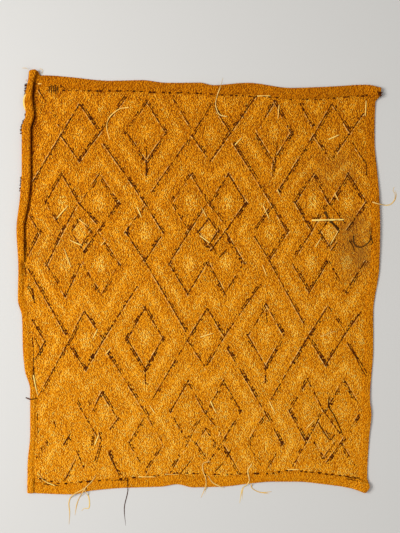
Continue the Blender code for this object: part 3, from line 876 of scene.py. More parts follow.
def make_dye_and_falloff_group():
    """Uneven dyeing over the whole panel, in clouds and streaks, smudges, and painted light: a run from darker at
    the top to lighter at the bottom.
    """
    tree, given, gives = new_group(
        "uneven_dye_and_light_falloff", {"Place": ("Vector", None)}, {"Lightness": ("Float", None), "Smudge": ("Float", None)}
    )
    parts = add_node(tree, "ShaderNodeSeparateXYZ", None, {0: given["Place"]})
    clouds = add_node(tree, "ShaderNodeTexNoise", None, {"Vector": given["Place"], "Scale": 26, "Detail": 4})
    streaks_at = add_node(
        tree, "ShaderNodeVectorMath", {"operation": "MULTIPLY"}, {0: given["Place"], 1: (160, 22, 1)}
    )
    streaks = add_node(tree, "ShaderNodeTexNoise", None, {"Vector": streaks_at.outputs[0], "Scale": 1, "Detail": 2})
    # painted light: the tone falls off towards the top, as the light does
    run = calc(tree, "MULTIPLY", parts.outputs["Y"], -0.28)
    cloud = calc(tree, "MULTIPLY_ADD", clouds.outputs["Fac"], 0.1, -0.05)
    streak = calc(tree, "MULTIPLY_ADD", streaks.outputs["Fac"], 0.06, -0.03)
    tree.links.new(calc(tree, "ADD", run, calc(tree, "ADD", cloud, streak)), gives["Lightness"])
    smudge = 0.0
    for x_mm, y_mm, reach_x, reach_y, strength in SMUDGES:
        away = add_node(
            tree, "ShaderNodeMapping", {"vector_type": "TEXTURE"},
            {"Vector": given["Place"], "Location": (x_mm * MM, y_mm * MM, 0),
             "Scale": (reach_x * MM, reach_y * MM, 1)},
        )
        flat = add_node(
            tree, "ShaderNodeVectorMath", {"operation": "MULTIPLY"}, {0: away.outputs[0], 1: (1, 1, 0)}
        )
        size = add_node(tree, "ShaderNodeVectorMath", {"operation": "LENGTH"}, {0: flat.outputs[0]})
        spot = add_node(
            tree, "ShaderNodeMapRange", {"interpolation_type": "SMOOTHSTEP"},
            {"Value": size.outputs["Value"], "From Min": 0.3, "From Max": 1.6, "To Min": strength, "To Max": 0.0},
        )
        smudge = calc(tree, "MAXIMUM", smudge, spot.outputs[0])
    patchy = add_node(
        tree, "ShaderNodeMapRange", None,
        {"Value": clouds.outputs["Fac"], "From Min": 0.35, "From Max": 0.6, "To Min": 0.3, "To Max": 1.0},
    )
    tree.links.new(calc(tree, "MULTIPLY", smudge, patchy.outputs[0]), gives["Smudge"])
    return tree


def put_group(tree, group, inputs=None):
    return add_node(tree, "ShaderNodeGroup", {"node_tree": group}, inputs).outputs


def colour_steps(tree, value, steps):
    """Colour ramp with its (place, colour) steps."""
    ramp = add_node(tree, "ShaderNodeValToRGB", None, {"Fac": value})
    stops = ramp.color_ramp.elements
    while len(stops) < len(steps):
        stops.new(0.5)
    for stop, (place, colour) in zip(stops, steps):
        stop.position = place
        stop.color = colour
    return ramp.outputs["Color"]


def mixed_colour(tree, share, a, b):
    """Output of one colour Mix node; a and b are colours or outputs."""
    return add_node(tree, "ShaderNodeMix", {"data_type": "RGBA"}, {0: share, 6: a, 7: b}).outputs[2]


grain_group = make_grain_group()
bands_group = make_bands_group(make_distance_group())
dye_and_falloff_group = make_dye_and_falloff_group()


def attribute(tree, name):
    return add_node(tree, "ShaderNodeAttribute", {"attribute_name": name}).outputs["Fac"]


def raised(tree, shader, height, distance):
    bump = add_node(tree, "ShaderNodeBump", None, {"Height": height, "Strength": 1.0, "Distance": distance})
    tree.links.new(bump.outputs[0], shader.inputs["Normal"])


def wrong_side_finish():
    """The face that shows: speckled weave, pale bands and hearts, painted shade beside the left roll, and painted
    light that falls off towards the top.
    """
    made, tree, shader = new_material("wrong_side")
    shader.inputs["Specular IOR Level"].default_value = CLOTH_SHINE
    weave = add_node(tree, "ShaderNodeUVMap", {"uv_map": "weave"}).outputs[0]
    spot = add_node(tree, "ShaderNodeTexCoord").outputs["Object"]
    grain = put_group(tree, grain_group, {"Place": weave})
    dye_and_falloff = put_group(tree, dye_and_falloff_group, {"Place": spot})
    fine = add_node(tree, "ShaderNodeTexNoise", None, {"Vector": spot, "Scale": 650, "Detail": 2})
    heart = attribute(tree, "heart")
    chart = add_node(tree, "ShaderNodeUVMap", {"uv_map": "chart"}).outputs[0]
    band = put_group(tree, bands_group, {"Chart": chart})["Band"]

    tone = calc(tree, "MULTIPLY_ADD", grain["Tone"], WRONG_SPREAD, WRONG_MIDDLE - WRONG_SPREAD / 2)
    tone = calc(tree, "ADD", tone, calc(tree, "MULTIPLY_ADD", fine.outputs["Fac"], 0.1, -0.05))
    # uneven dyeing, and the painted light that falls off from bottom to top
    tone = calc(tree, "ADD", tone, dye_and_falloff["Lightness"])
    for share, flecks, lighter in ((band, BAND_FLECKS, BAND_LIGHTER), (heart, HEART_FLECKS, HEART_LIGHTER)):
        paler = calc(tree, "MULTIPLY_ADD", grain["Tone"], flecks, lighter)
        tone = calc(tree, "MULTIPLY_ADD", share, paler, tone)
    tone = calc(tree, "MULTIPLY_ADD", grain["Gap"], GAP_DARKER, tone)
    up = add_node(tree, "ShaderNodeSeparateXYZ", None, {0: spot}).outputs["Y"]
    # painted shade: the cloth beside the left roll is darkened where the roll stands tall, and its wider band mostly
    # towards the top
    crevice_shade_top_end = add_node(
        tree, "ShaderNodeMapRange", {"interpolation_type": "SMOOTHSTEP"},
        {"Value": up, "From Min": 130 * MM, "From Max": 250 * MM, "To Min": 0.35, "To Max": 1.0},
    )
    for reach, depth, strength in CREVICE_PAINTED_SHADE:
        shade = add_node(
            tree, "ShaderNodeMapRange", {"interpolation_type": "SMOOTHSTEP"},
            {"Value": attribute(tree, "from_roll"), "From Min": depth, "From Max": reach,
             "To Min": -strength, "To Max": 0.0},
        ).outputs[0]
        shade = calc(tree, "MULTIPLY", shade, attribute(tree, "tucked"))
        if reach > CREVICE_PAINTED_SHADE[0][0]:
            shade = calc(tree, "MULTIPLY", shade, crevice_shade_top_end.outputs[0])
        tone = calc(tree, "ADD", tone, shade)
    colour = colour_steps(tree, tone, OCHRE_STEPS)
    greyed = mixed_colour(tree, calc(tree, "MULTIPLY", dye_and_falloff["Smudge"], 0.7), colour, SMUDGE_BROWN)
    tree.links.new(greyed, shader.inputs["Base Color"])
    rough = calc(tree, "MULTIPLY_ADD", grain["Tone"], -0.12, 0.76)
    tree.links.new(rough, shader.inputs["Roughness"])
    raised(tree, shader, grain["Height"], 0.25 * MM)
    return made


def right_side_finish():
    """The side that lies down: cut pile in ochre and dark brown; its margin, which the hems show,
    is bare weave, and the left roll is painted lighter as painted light."""
    made, tree, shader = new_material("right_side")
    shader.inputs["Specular IOR Level"].default_value = CLOTH_SHINE
    weave = add_node(tree, "ShaderNodeUVMap", {"uv_map": "weave"}).outputs[0]
    spot = add_node(tree, "ShaderNodeTexCoord").outputs["Object"]
    grain = put_group(tree, grain_group, {"Place": weave, "Lean": 0.0})
    dye_and_falloff = put_group(tree, dye_and_falloff_group, {"Place": spot})
    fine = add_node(tree, "ShaderNodeTexNoise", None, {"Vector": spot, "Scale": 650, "Detail": 2})
    plain = attribute(tree, "plain")
    tone = calc(tree, "MULTIPLY_ADD", grain["Tone"], RIGHT_SPREAD, RIGHT_MIDDLE - RIGHT_SPREAD / 2)
    tone = calc(tree, "ADD", tone, calc(tree, "MULTIPLY_ADD", fine.outputs["Fac"], 0.2, -0.1))
    across = add_node(tree, "ShaderNodeSeparateXYZ", None, {0: weave}).outputs["X"]
    # painted light: the left roll's turned cloth is painted lighter
    is_rolled = calc(tree, "LESS_THAN", across, 0.0)
    tone = calc(tree, "MULTIPLY_ADD", is_rolled, ROLL_PAINTED_LIGHT, tone)
    # uneven dyeing, and the painted light that falls off from bottom to top
    tone = calc(tree, "ADD", tone, dye_and_falloff["Lightness"])
    tone = calc(tree, "MULTIPLY_ADD", grain["Gap"], GAP_DARKER, tone)
    margin = colour_steps(tree, tone, OCHRE_STEPS)
    line = attribute(tree, "line")
    edge = calc(tree, "MULTIPLY_ADD", fine.outputs["Fac"], 0.5, calc(tree, "SUBTRACT", line, 0.25))
    is_dark = add_node(
        tree, "ShaderNodeMapRange", {"interpolation_type": "SMOOTHSTEP"},
        {"Value": edge, "From Min": 0.3, "From Max": 0.45},
    )
    pile = mixed_colour(tree, is_dark.outputs[0], margin, DARK_PILE)
    tree.links.new(mixed_colour(tree, plain, pile, margin), shader.inputs["Base Color"])
    shader.inputs["Roughness"].default_value = 0.8
    raised(tree, shader, calc(tree, "ADD", grain["Height"], fine.outputs["Fac"]), 0.3 * MM)
    return made


def new_piece(name, mesh, finish=None):
    if finish is not None:
        mesh.materials.append(finish)
    made = bpy.data.objects.new(name, mesh)
    bpy.context.scene.collection.objects.link(made)
    return made


cloth = new_piece("raffia_cloth", cloth_mesh())
cloth.data.materials.append(wrong_side_finish())
cloth.data.materials.append(right_side_finish())
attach(cloth, "root")
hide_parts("cloth")
bpy.context.view_layer.update()
cloth_surface = BVHTree.FromObject(cloth, bpy.context.evaluated_depsgraph_get())

# Sewn stitches
# The pile's raffia was sewn in with a needle, a tuft at a time, and each tuft passed
# under a thread or two: its back is a short flat stitch. Dark pile shows as rows of dark
# stitches, broken and uneven, and the lighter pile as pale stitches.
STITCH_DIVE = 0.25                # share of a stitch's height at which its ends sink in
LINE_STEP = 6                     # mm between the points of a stitched line
HEM_CLEAR = 3                     # mm from a hem within which nothing is sewn
PROBE_HEIGHT = 100 * MM
DARK_SPACING, DARK_LENGTH, DARK_WIDTH = 4.0 * MM, 5.2 * MM, 3.4 * MM
DARK_HEIGHT, DARK_WANDER = 0.6 * MM, 0.3 * MM
DARK_PRESENCE, PATCH_SIZE, PATCH_CHANGE = 0.82, 13 * MM, 2.6
ROW_APART, SECOND_ROW = 2.7, 0.5             # mm between a line's two rows, and how full the second one is
HEAVY_REACH = 9                   # mm
HEAVY = [
    # x_mm, y_mm of places where the dark sewing is thickest, from the top row down
    (-157, 234), (-195, 217), (-199, 244), (-169, 267), (-160, 247), (-174, 186), (-142, 205),
    (57, 202), (73, 247), (49, 244), (172, 231), (141, 220), (96, 223), (204, 244), (222, 235),
    (-75, 189), (-231, 129), (-118, 123), (-96, 145), (-178, 135), (152, 120), (71, 123),
    (64, 105), (121, 136), (127, 127), (247, 118), (241, 105), (207, 133), (168, 88),
    (-255, 82), (-243, 67), (-156, 92), (-162, 98), (-210, 72), (-105, 76), (-93, 58),
    (-166, 46), (71, 38), (35, -3), (48, 64), (64, 52), (-198, -22), (-88, 20), (-18, -64),
    (-87, -55), (-100, -81), (-93, -100), (-85, -112), (-76, -123), (-66, -109), (-153, -60),
    (-159, -58), (-201, -76), (-181, -106), (-163, -132), (-156, -112), (-129, -112),
    (32, -63), (48, -93), (55, -109), (93, -94), (103, -112), (118, -99), (127, -70),
    (155, -105), (163, -87), (172, -70), (145, -118), (187, -112), (192, -124), (231, -54),
    (-249, -10), (-238, -90), (-100, -157), (-93, -172), (-85, -187), (-83, -160), (-174, -183),
    (-144, -169), (-130, -177), (-157, -236), (-192, -232), (-132, -258), (73, -141), (85, -163),
    (163, -162), (150, -184), (144, -199), (166, -232), (153, -256), (172, -253), (180, -273),
    (189, -194), (200, -180), (240, -201), (215, -230), (220, -256), (244, -241), (199, -261),
    (38, -252), (46, -253), (128, -238),
]
WORN = [
    # x_mm, y_mm and reach_mm of places where the dark sewing is gone
    (-218, 258, 26), (218, 68, 16), (236, 44, 20), (-243, 222, 14), (-231, -240, 26),
]
WORN_BELOW, WORN_FADE, WORN_SHARE = -110, 60, 0.75     # mm; the lowest rows have lost some of their stitches
PALE_DENSITY, PALE_GAP = 30000, 2.3 * MM        # stitches on a square metre, and their least distance
PALE_LENGTH, PALE_WIDTH, PALE_HEIGHT = 2.7 * MM, 1.3 * MM, 0.3 * MM
PALE_ON_BANDS = 0.38              # how thickly the bands have pale stitches, against the hearts
THIN_SPACING, THIN_LENGTH, THIN_WIDTH, THIN_PRESENCE = 4.6 * MM, 6.4 * MM, 1.5 * MM, 1.0
# The pale ridges are raised strips beside the dark lines. Their pale colour is painted highlight, for light caught
# on the lines' raised edge.
RIDGE_WIDTH, RIDGE_HEIGHT, RIDGE_APART, RIDGE_PRESENCE = 1.2 * MM, 0.5 * MM, -1.9, 0.55


def stitch_shape(name, steps, profile):
    """Unit stitch along X. profile is its section, as shares of its width and height."""
    shape = bmesh.new()
    rings = []
    for i in range(steps + 1):
        x = i / steps - 0.5
        swell = math.cos(math.pi * x)
        half_width = 0.28 + 0.22 * swell
        rise = mix(-STITCH_DIVE, 1.0, swell)
        rings.append([shape.verts.new((x, side * half_width, min(high, 0) + max(high, 0) * rise))
                      for side, high in profile])
    for a, b in zip(rings, rings[1:]):
        for k in range(len(profile)):
            m = (k + 1) % len(profile)
            shape.faces.new((a[k], b[k], b[m], a[m]))
    shape.faces.new(rings[0])
    shape.faces.new(list(reversed(rings[-1])))
    bmesh.ops.recalc_face_normals(shape, faces=shape.faces)
    mesh = bpy.data.meshes.new(name)
    shape.to_mesh(mesh)
    shape.free()
    mesh.polygons.foreach_set("use_smooth", [True] * len(mesh.polygons))
    made = bpy.data.objects.new(name, mesh)
    return made


FLAT_STITCH = stitch_shape("flat_stitch", 4, [(-1, -0.9), (1, -0.9), (0.55, 1), (-0.55, 1)])
ROUND_STITCH = stitch_shape("round_stitch", 2, [(-1, -0.9), (1, -0.9), (0, 1)])


def new_geometry_group(name, inputs):
    tree, given, gives = new_group(
        name, {"Geometry": ("Geometry", None), **inputs}, {"Geometry": ("Geometry", None)}, "GeometryNodeTree"
    )
    return tree, given, gives


def random_between(tree, low, high, seed, kind="FLOAT"):
    return add_node(
        tree, "FunctionNodeRandomValue", {"data_type": kind}, {2: low, 3: high, "Seed": seed}
    ).outputs[1]


def seed_plus(tree, seed, number):
    return calc(tree, "ADD", seed, number)


def on_cloth(tree, source, cloth_input):
    """Ray straight down from a field of places: whether it hits the cloth, and where."""
    target = add_node(tree, "GeometryNodeObjectInfo", None, {"Object": cloth_input})
    above = add_node(
        tree, "ShaderNodeVectorMath", {"operation": "ADD"}, {0: source, 1: (0, 0, PROBE_HEIGHT)}
    )
    ray = add_node(
        tree, "GeometryNodeRaycast", None,
        {"Target Geometry": target.outputs["Geometry"], "Source Position": above.outputs[0],
         "Ray Direction": (0, 0, -1), "Ray Length": 2 * PROBE_HEIGHT},
    )
    return ray.outputs["Is Hit"], ray.outputs["Hit Position"]


def finish_instances(tree, gives, points, selection, shape, turn, size, seed, finish):
    """Instances on points, each with its own tone, made real and given their material."""
    rotation = add_node(tree, "FunctionNodeEulerToRotation", None, {0: turn})
    shown = add_node(tree, "GeometryNodeObjectInfo", None, {"Object": shape})
    placed = add_node(
        tree, "GeometryNodeInstanceOnPoints", None,
        {"Points": points, "Selection": selection, "Instance": shown.outputs["Geometry"],
         "Rotation": rotation.outputs[0], "Scale": size},
    )
    toned = add_node(
        tree, "GeometryNodeStoreNamedAttribute", {"domain": "INSTANCE", "data_type": "FLOAT"},
        {"Geometry": placed.outputs[0], "Name": "tone",
         "Value": random_between(tree, 0.0, 1.0, seed_plus(tree, seed, 11))},
    )
    real = add_node(tree, "GeometryNodeRealizeInstances", None, {0: toned.outputs[0]})
    done = add_node(tree, "GeometryNodeSetMaterial", None, {"Geometry": real.outputs[0], "Material": finish})
    tree.links.new(done.outputs[0], gives["Geometry"])


def stitches_along_lines():
    """Stitches end to end on lines that are laid over the cloth, some of them missing."""
    tree, given, gives = new_geometry_group("stitches_along_lines", {
        "Cloth": ("Object", None),
        "Stitch": ("Object", None),
        "Finish": ("Material", None),
        "Spacing": ("Float", DARK_SPACING),
        "Length": ("Float", DARK_LENGTH),
        "Width": ("Float", DARK_WIDTH),
        "Height": ("Float", DARK_HEIGHT),
        "Wander": ("Float", DARK_WANDER),
        "Presence": ("Float", DARK_PRESENCE),
        "Patch Size": ("Float", PATCH_SIZE),
        "Seed": ("Int", 1),
    })
    seed = given["Seed"]
    curve = add_node(tree, "GeometryNodeMeshToCurve", None, {0: given["Geometry"]})
    spots = add_node(
        tree, "GeometryNodeCurveToPoints", {"mode": "LENGTH"},
        {"Curve": curve.outputs[0], "Length": given["Spacing"]},
    )
    ahead = add_node(tree, "ShaderNodeSeparateXYZ", None, {0: spots.outputs["Tangent"]})
    yaw = calc(tree, "ARCTAN2", ahead.outputs["Y"], ahead.outputs["X"])
    yaw = calc(tree, "ADD", yaw, random_between(tree, -0.1, 0.1, seed_plus(tree, seed, 1)))
    aside = add_node(
        tree, "ShaderNodeCombineXYZ", None,
        {"X": calc(tree, "MULTIPLY", ahead.outputs["Y"], -1), "Y": ahead.outputs["X"]},
    )
    by = calc(tree, "MULTIPLY", given["Wander"], random_between(tree, -1.0, 1.0, seed_plus(tree, seed, 2)))
    shift = add_node(
        tree, "ShaderNodeVectorMath", {"operation": "SCALE"}, {0: aside.outputs[0], "Scale": by}
    )
    onward = calc(tree, "MULTIPLY", given["Spacing"], random_between(tree, -0.35, 0.35, seed_plus(tree, seed, 3)))
    slide = add_node(
        tree, "ShaderNodeVectorMath", {"operation": "SCALE"}, {0: spots.outputs["Tangent"], "Scale": onward}
    )
    here = add_node(tree, "GeometryNodeInputPosition").outputs[0]
    moved = add_node(tree, "ShaderNodeVectorMath", {"operation": "ADD"}, {0: shift.outputs[0], 1: slide.outputs[0]})
    moved = add_node(tree, "ShaderNodeVectorMath", {"operation": "ADD"}, {0: here, 1: moved.outputs[0]})
    is_hit, hit_place = on_cloth(tree, moved.outputs[0], given["Cloth"])
    weight = add_node(
        tree, "GeometryNodeInputNamedAttribute", {"data_type": "FLOAT"}, {"Name": "weight"}
    ).outputs["Attribute"]
    patches_at = add_node(
        tree, "ShaderNodeVectorMath", {"operation": "SCALE"},
        {0: here, "Scale": calc(tree, "DIVIDE", 1.0, given["Patch Size"])},
    )
    patches = add_node(
        tree, "ShaderNodeTexNoise", None, {"Vector": patches_at.outputs[0], "Scale": 1.0, "Detail": 1}
    )
    chance = calc(tree, "MULTIPLY", given["Presence"], weight)
    chance = calc(
        tree, "ADD", chance, calc(tree, "MULTIPLY_ADD", patches.outputs[0], PATCH_CHANGE, -PATCH_CHANGE / 2)
    )
    drawn = random_between(tree, 0.2, 0.75, seed_plus(tree, seed, 4))
    present = calc(tree, "LESS_THAN", drawn, chance)
    selection = calc(tree, "MULTIPLY", present, is_hit)
    placed = add_node(
        tree, "GeometryNodeSetPosition", None, {"Geometry": spots.outputs["Points"], "Position": hit_place}
    )
    bold = calc(tree, "MULTIPLY_ADD", weight, 0.5, 0.45)
    size = add_node(tree, "ShaderNodeCombineXYZ", None, {
        "X": calc(tree, "MULTIPLY", given["Length"], random_between(tree, 0.7, 1.15, seed_plus(tree, seed, 5))),
        "Y": calc(
            tree, "MULTIPLY", calc(tree, "MULTIPLY", given["Width"], bold),
            random_between(tree, 0.6, 1.25, seed_plus(tree, seed, 6)),
        ),
        "Z": given["Height"],
    })
    turn = add_node(tree, "ShaderNodeCombineXYZ", None, {"Z": yaw})
    finish_instances(
        tree, gives, placed.outputs[0], selection, given["Stitch"], turn.outputs[0], size.outputs[0], seed,
        given["Finish"],
    )
    return tree


def stitches_over_bands():
    """Upright pale stitches, strewn as thickly as the cloth's pale bands and hearts ask."""
    tree, given, gives = new_geometry_group("stitches_over_bands", {
        "Stitch": ("Object", None),
        "Finish": ("Material", None),
        "Density": ("Float", PALE_DENSITY),
        "Least Gap": ("Float", PALE_GAP),
        "Length": ("Float", PALE_LENGTH),
        "Width": ("Float", PALE_WIDTH),
        "Height": ("Float", PALE_HEIGHT),
        "Seed": ("Int", 1),
    })
    seed = given["Seed"]
    read = {
        name: add_node(
            tree, "GeometryNodeInputNamedAttribute", {"data_type": "FLOAT"}, {"Name": name}
        ).outputs["Attribute"]
        for name in ("pale", "heart", "shown")
    }
    share = calc(tree, "MAXIMUM", calc(tree, "MULTIPLY", read["pale"], PALE_ON_BANDS), read["heart"])
    share = calc(tree, "MULTIPLY", calc(tree, "MULTIPLY", share, read["shown"]), share)
    spots = add_node(
        tree, "GeometryNodeDistributePointsOnFaces", {"distribute_method": "POISSON"},
        {"Mesh": given["Geometry"], "Distance Min": given["Least Gap"], "Density Max": given["Density"],
         "Density Factor": share, "Seed": seed},
    )
    yaw = calc(
        tree, "ADD", math.pi / 2 + math.atan(GRAIN_LEAN),
        random_between(tree, -0.35, 0.35, seed_plus(tree, seed, 1)),
    )
    size = add_node(tree, "ShaderNodeCombineXYZ", None, {
        "X": calc(tree, "MULTIPLY", given["Length"], random_between(tree, 0.6, 1.3, seed_plus(tree, seed, 2))),
        "Y": calc(tree, "MULTIPLY", given["Width"], random_between(tree, 0.6, 1.3, seed_plus(tree, seed, 3))),
        "Z": given["Height"],
    })
    turn = add_node(tree, "ShaderNodeCombineXYZ", None, {"Z": yaw})
    finish_instances(
        tree, gives, spots.outputs["Points"], True, given["Stitch"], turn.outputs[0], size.outputs[0], seed,
        given["Finish"],
    )
    return tree


def grown_mesh(host, tree, values):
    """Plain mesh of what a geometry tree makes of an object. Its inputs are given by name."""
    modifier = host.modifiers.new(tree.name, "NODES")
    modifier.node_group = tree
    identifiers = {
        item.name: item.identifier
        for item in tree.interface.items_tree
        if item.item_type == "SOCKET" and item.in_out == "INPUT"
    }
    for name, value in values.items():
        modifier[identifiers[name]] = value
    graph = bpy.context.evaluated_depsgraph_get()
    mesh = bpy.data.meshes.new_from_object(host.evaluated_get(graph), depsgraph=graph)
    host.modifiers.remove(modifier)
    return mesh


def line_host(name, lines):
    """Object of plain edges. lines holds runs of (x_mm, y_mm, weight)."""
    points, edges, weights = [], [], []
    for run in lines:
        for i, (x, y, weight) in enumerate(run):
            if i:
                edges.append((len(points) - 1, len(points)))
            points.append((x * MM, y * MM, 0))
            weights.append(weight)
    mesh = bpy.data.meshes.new(name)
    mesh.from_pydata(points, edges, [])
    mesh.attributes.new("weight", "FLOAT", "POINT").data.foreach_set("value", weights)
    made = bpy.data.objects.new(name, mesh)
    bpy.context.scene.collection.objects.link(made)
    return made


def is_sewn(x, y):
    """Whether a place, in millimetres, lies clear of the hems and of the left roll."""
    rows = {name: through(EDGES[name], np.array([x if name in ("top", "low") else y]))[0][0] for name in EDGES}
    roll = through(LEFT_ROLL, np.array([y]))[0][0]
    return (
        rows["left"] + roll + HEM_CLEAR < x < rows["right"] - RIGHT_HEM / MM - HEM_CLEAR
        and rows["low"] + BOTTOM_HEM / MM + HEM_CLEAR < y < rows["top"] - TOP_HEM / MM - HEM_CLEAR
    )


def sewn_lines(seed, rows):
    """The charted dark lines at their real places, cut off at the hems. rows holds the
    (distance aside in mm, fullness) of each row of stitches."""
    draw = np.random.default_rng(seed)
    found = []
    for run, (apart, fullness) in [(run, row) for run in charted(LINES) for row in rows]:
        thickness = draw.uniform(0.66, 1.1)
        here = []
        for (ax, ay), (bx, by) in zip(run, run[1:]):
            length = math.hypot(bx - ax, by - ay)
            side = ((ay - by) / length, (bx - ax) / length)
            steps = max(1, round(length / LINE_STEP))
            for i in range(steps + 1):
                x, y = mix(ax, bx, i / steps), mix(ay, by, i / steps)
                x, y = from_chart(x / REPEAT_WIDTH, -y / REPEAT_HEIGHT)
                if not is_sewn(x, y):
                    found.append(here)
                    here = []
                    continue
                near = max(0.0, max(1 - math.hypot(x - hx, y - hy) / HEAVY_REACH for hx, hy in HEAVY))
                kept = mix(WORN_SHARE, 1.0, smooth((y - WORN_BELOW) / WORN_FADE + 1))
                for wx, wy, reach in WORN:
                    kept *= smooth(math.hypot(x - wx, y - wy) / reach * 2 - 1)
                here.append((x + apart * side[0], y + apart * side[1], fullness * thickness * kept + 1.1 * near))
            found.append(here)
            here = []
    return [run for run in found if len(run) > 1]


def stitch_finish(name, dark, light, roughness):
    """Dyed raffia strip: each stitch has its own tone, with streaks along it."""
    made, tree, shader = new_material(name)
    shader.inputs["Specular IOR Level"].default_value = 0.06
    spot = add_node(tree, "ShaderNodeTexCoord").outputs["Object"]
    fine = add_node(tree, "ShaderNodeTexNoise", None, {"Vector": spot, "Scale": 1100, "Detail": 2})
    share = calc(tree, "MULTIPLY_ADD", attribute(tree, "tone"), 0.7, calc(
        tree, "MULTIPLY_ADD", fine.outputs["Fac"], 0.8, -0.25))
    tree.links.new(mixed_colour(tree, share, dark, light), shader.inputs["Base Color"])
    shader.inputs["Roughness"].default_value = roughness
    raised(tree, shader, fine.outputs["Fac"], 0.15 * MM)
    return made


line_tree = stitches_along_lines()
band_tree = stitches_over_bands()

dark_finish = stitch_finish("dark_raffia", from_srgb(42, 16, 0), from_srgb(98, 42, 0), 0.75)
thin_finish = stitch_finish("thin_dark_raffia", from_srgb(88, 40, 0), from_srgb(140, 74, 6), 0.75)
ridge_highlight_finish = stitch_finish("pale_ridge_painted_highlight", from_srgb(228, 158, 60), from_srgb(255, 208, 116), 0.65)


def sewn_piece(name, lines, finish, values):
    """Rows of stitches on the cloth, as one piece."""
    host = line_host(name + "_host", lines)
    made = new_piece(name, grown_mesh(host, line_tree, {
        "Cloth": cloth,
        "Stitch": FLAT_STITCH,
        "Finish": finish,
        **values,
    }))
    bpy.data.objects.remove(host, do_unlink=True)
    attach(made, "root")


sewn_piece(
    "dark_stitches", sewn_lines(4, [(0, 1.0), (ROW_APART, SECOND_ROW)]), dark_finish, {"Seed": 7}
)
sewn_piece("thin_stitches", sewn_lines(4, [(0, 1.0)]), thin_finish, {
    "Spacing": THIN_SPACING,
    "Length": THIN_LENGTH,
    "Width": THIN_WIDTH,
    "Height": RIDGE_HEIGHT,
    "Presence": THIN_PRESENCE,
    "Seed": 8,
})
# raised strips whose pale colour is painted highlight along the dark lines
sewn_piece("pale_ridges", sewn_lines(6, [(RIDGE_APART, 1.0)]), ridge_highlight_finish, {
    "Spacing": THIN_SPACING,
    "Length": THIN_LENGTH,
    "Width": RIDGE_WIDTH,
    "Height": RIDGE_HEIGHT,
    "Presence": RIDGE_PRESENCE,
    "Seed": 9,
})

pale_stitches = new_piece("pale_stitches", grown_mesh(cloth, band_tree, {
    "Stitch": ROUND_STITCH,
    "Finish": stitch_finish("pale_sewn_raffia", from_srgb(206, 138, 40), from_srgb(246, 196, 98), 0.65),
    "Seed": 3,
}))
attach(pale_stitches, "root")

# Hem stitches and stray marks
# A running stitch of dark raffia holds the top and bottom hems. Where the pile wraps
# round the edges, or a tuft was pulled through, there are denser dark marks.
SEAM_SPACING, SEAM_LENGTH, SEAM_PRESENCE = 10 * MM, 5.5 * MM, 0.95
MARK_SPACING, MARK_LENGTH, MARK_WIDTH, MARK_PRESENCE = 2.6 * MM, 4.6 * MM, 2.2 * MM, 1.5
SEAMS = [
    [(-222, 289), (-165, 288), (-100, 288), (-70, 286), (-10, 285), (50, 281), (110, 279),
     (140, 275), (190, 275), (225, 279), (258, 281)],
    [(-236, -292), (-205, -301), (-160, -297), (-123, -294), (-85, -291), (-48, -287),
     (-25, -284), (20, -287), (70, -286), (111, -285), (138, -280), (177, -284), (234, -291)],
]
MARKS = [
    # along the top hem and its corners
    [(-203, 295), (-200, 293)],
    [(-146, 290), (-144, 286), (-141, 290)],
    # stems under the great lozenges, and by the right edge
    [(120, 208), (118, 190), (116, 167)],
    [(-76, 203), (-75, 165)],
    [(104, -40), (105, -58)],
    [(253, 180), (254, 163)],
    # at the left
    [(-258, 66), (-258, 44)],
    [(-258, 27), (-256, 11)],
    [(-254, -6), (-248, -16), (-243, -29)],
    [(-251, -6), (-246, -12), (-244, -28)],
    [(-247, -8), (-244, -18)],
    [(-246, -83), (-245, -112), (-246, -143)],
    [(-242, -83), (-236, -96), (-234, -108)],
    [(-244, -128), (-244, -153)],
    [(-239, -198), (-239, -204)],
    [(-239, -218), (-238, -223)],
    [(-233, -248), (-232, -254)],
    # near the lower left corner
    [(-190, -226), (-199, -240)],
    [(-191, -229), (-199, -241)],
    [(-154, -229), (-156, -243)],
    [(-156, -230), (-158, -242)],
    [(-145, -250), (-150, -267)],
    [(-132, -256), (-126, -270), (-119, -282)],
    [(-187, -276), (-193, -286), (-199, -295)],
    [(-214, -209), (-212, -214)],
    [(-162, -177), (-160, -182)],
    # along the bottom hem
    [(-238, -290), (-232, -297)],
    [(-228, -301), (-208, -303)],
    [(-126, -295), (-104, -295)],
    [(-25, -285), (-18, -277), (-12, -269)],
    [(222, -289), (233, -292), (242, -292)],
    [(225, -293), (240, -296)],
    # at the right
    [(226, -90), (233, -103), (240, -115), (246, -128), (253, -139)],
    [(230, -93), (238, -108), (246, -120), (254, -134)],
    [(233, -101), (241, -113)],
    [(228, -160), (232, -172)],
]


sewn_piece("hem_stitches", [[(x, y, 1.0) for x, y in run] for run in SEAMS], dark_finish, {
    "Spacing": SEAM_SPACING,
    "Length": SEAM_LENGTH,
    "Presence": SEAM_PRESENCE,
    "Seed": 21,
})
sewn_piece("edge_marks", [[(x, y, 1.0) for x, y in run] for run in MARKS], dark_finish, {
    "Spacing": MARK_SPACING,
    "Length": MARK_LENGTH,
    "Width": MARK_WIDTH,
    "Presence": MARK_PRESENCE,
    "Seed": 33,
})

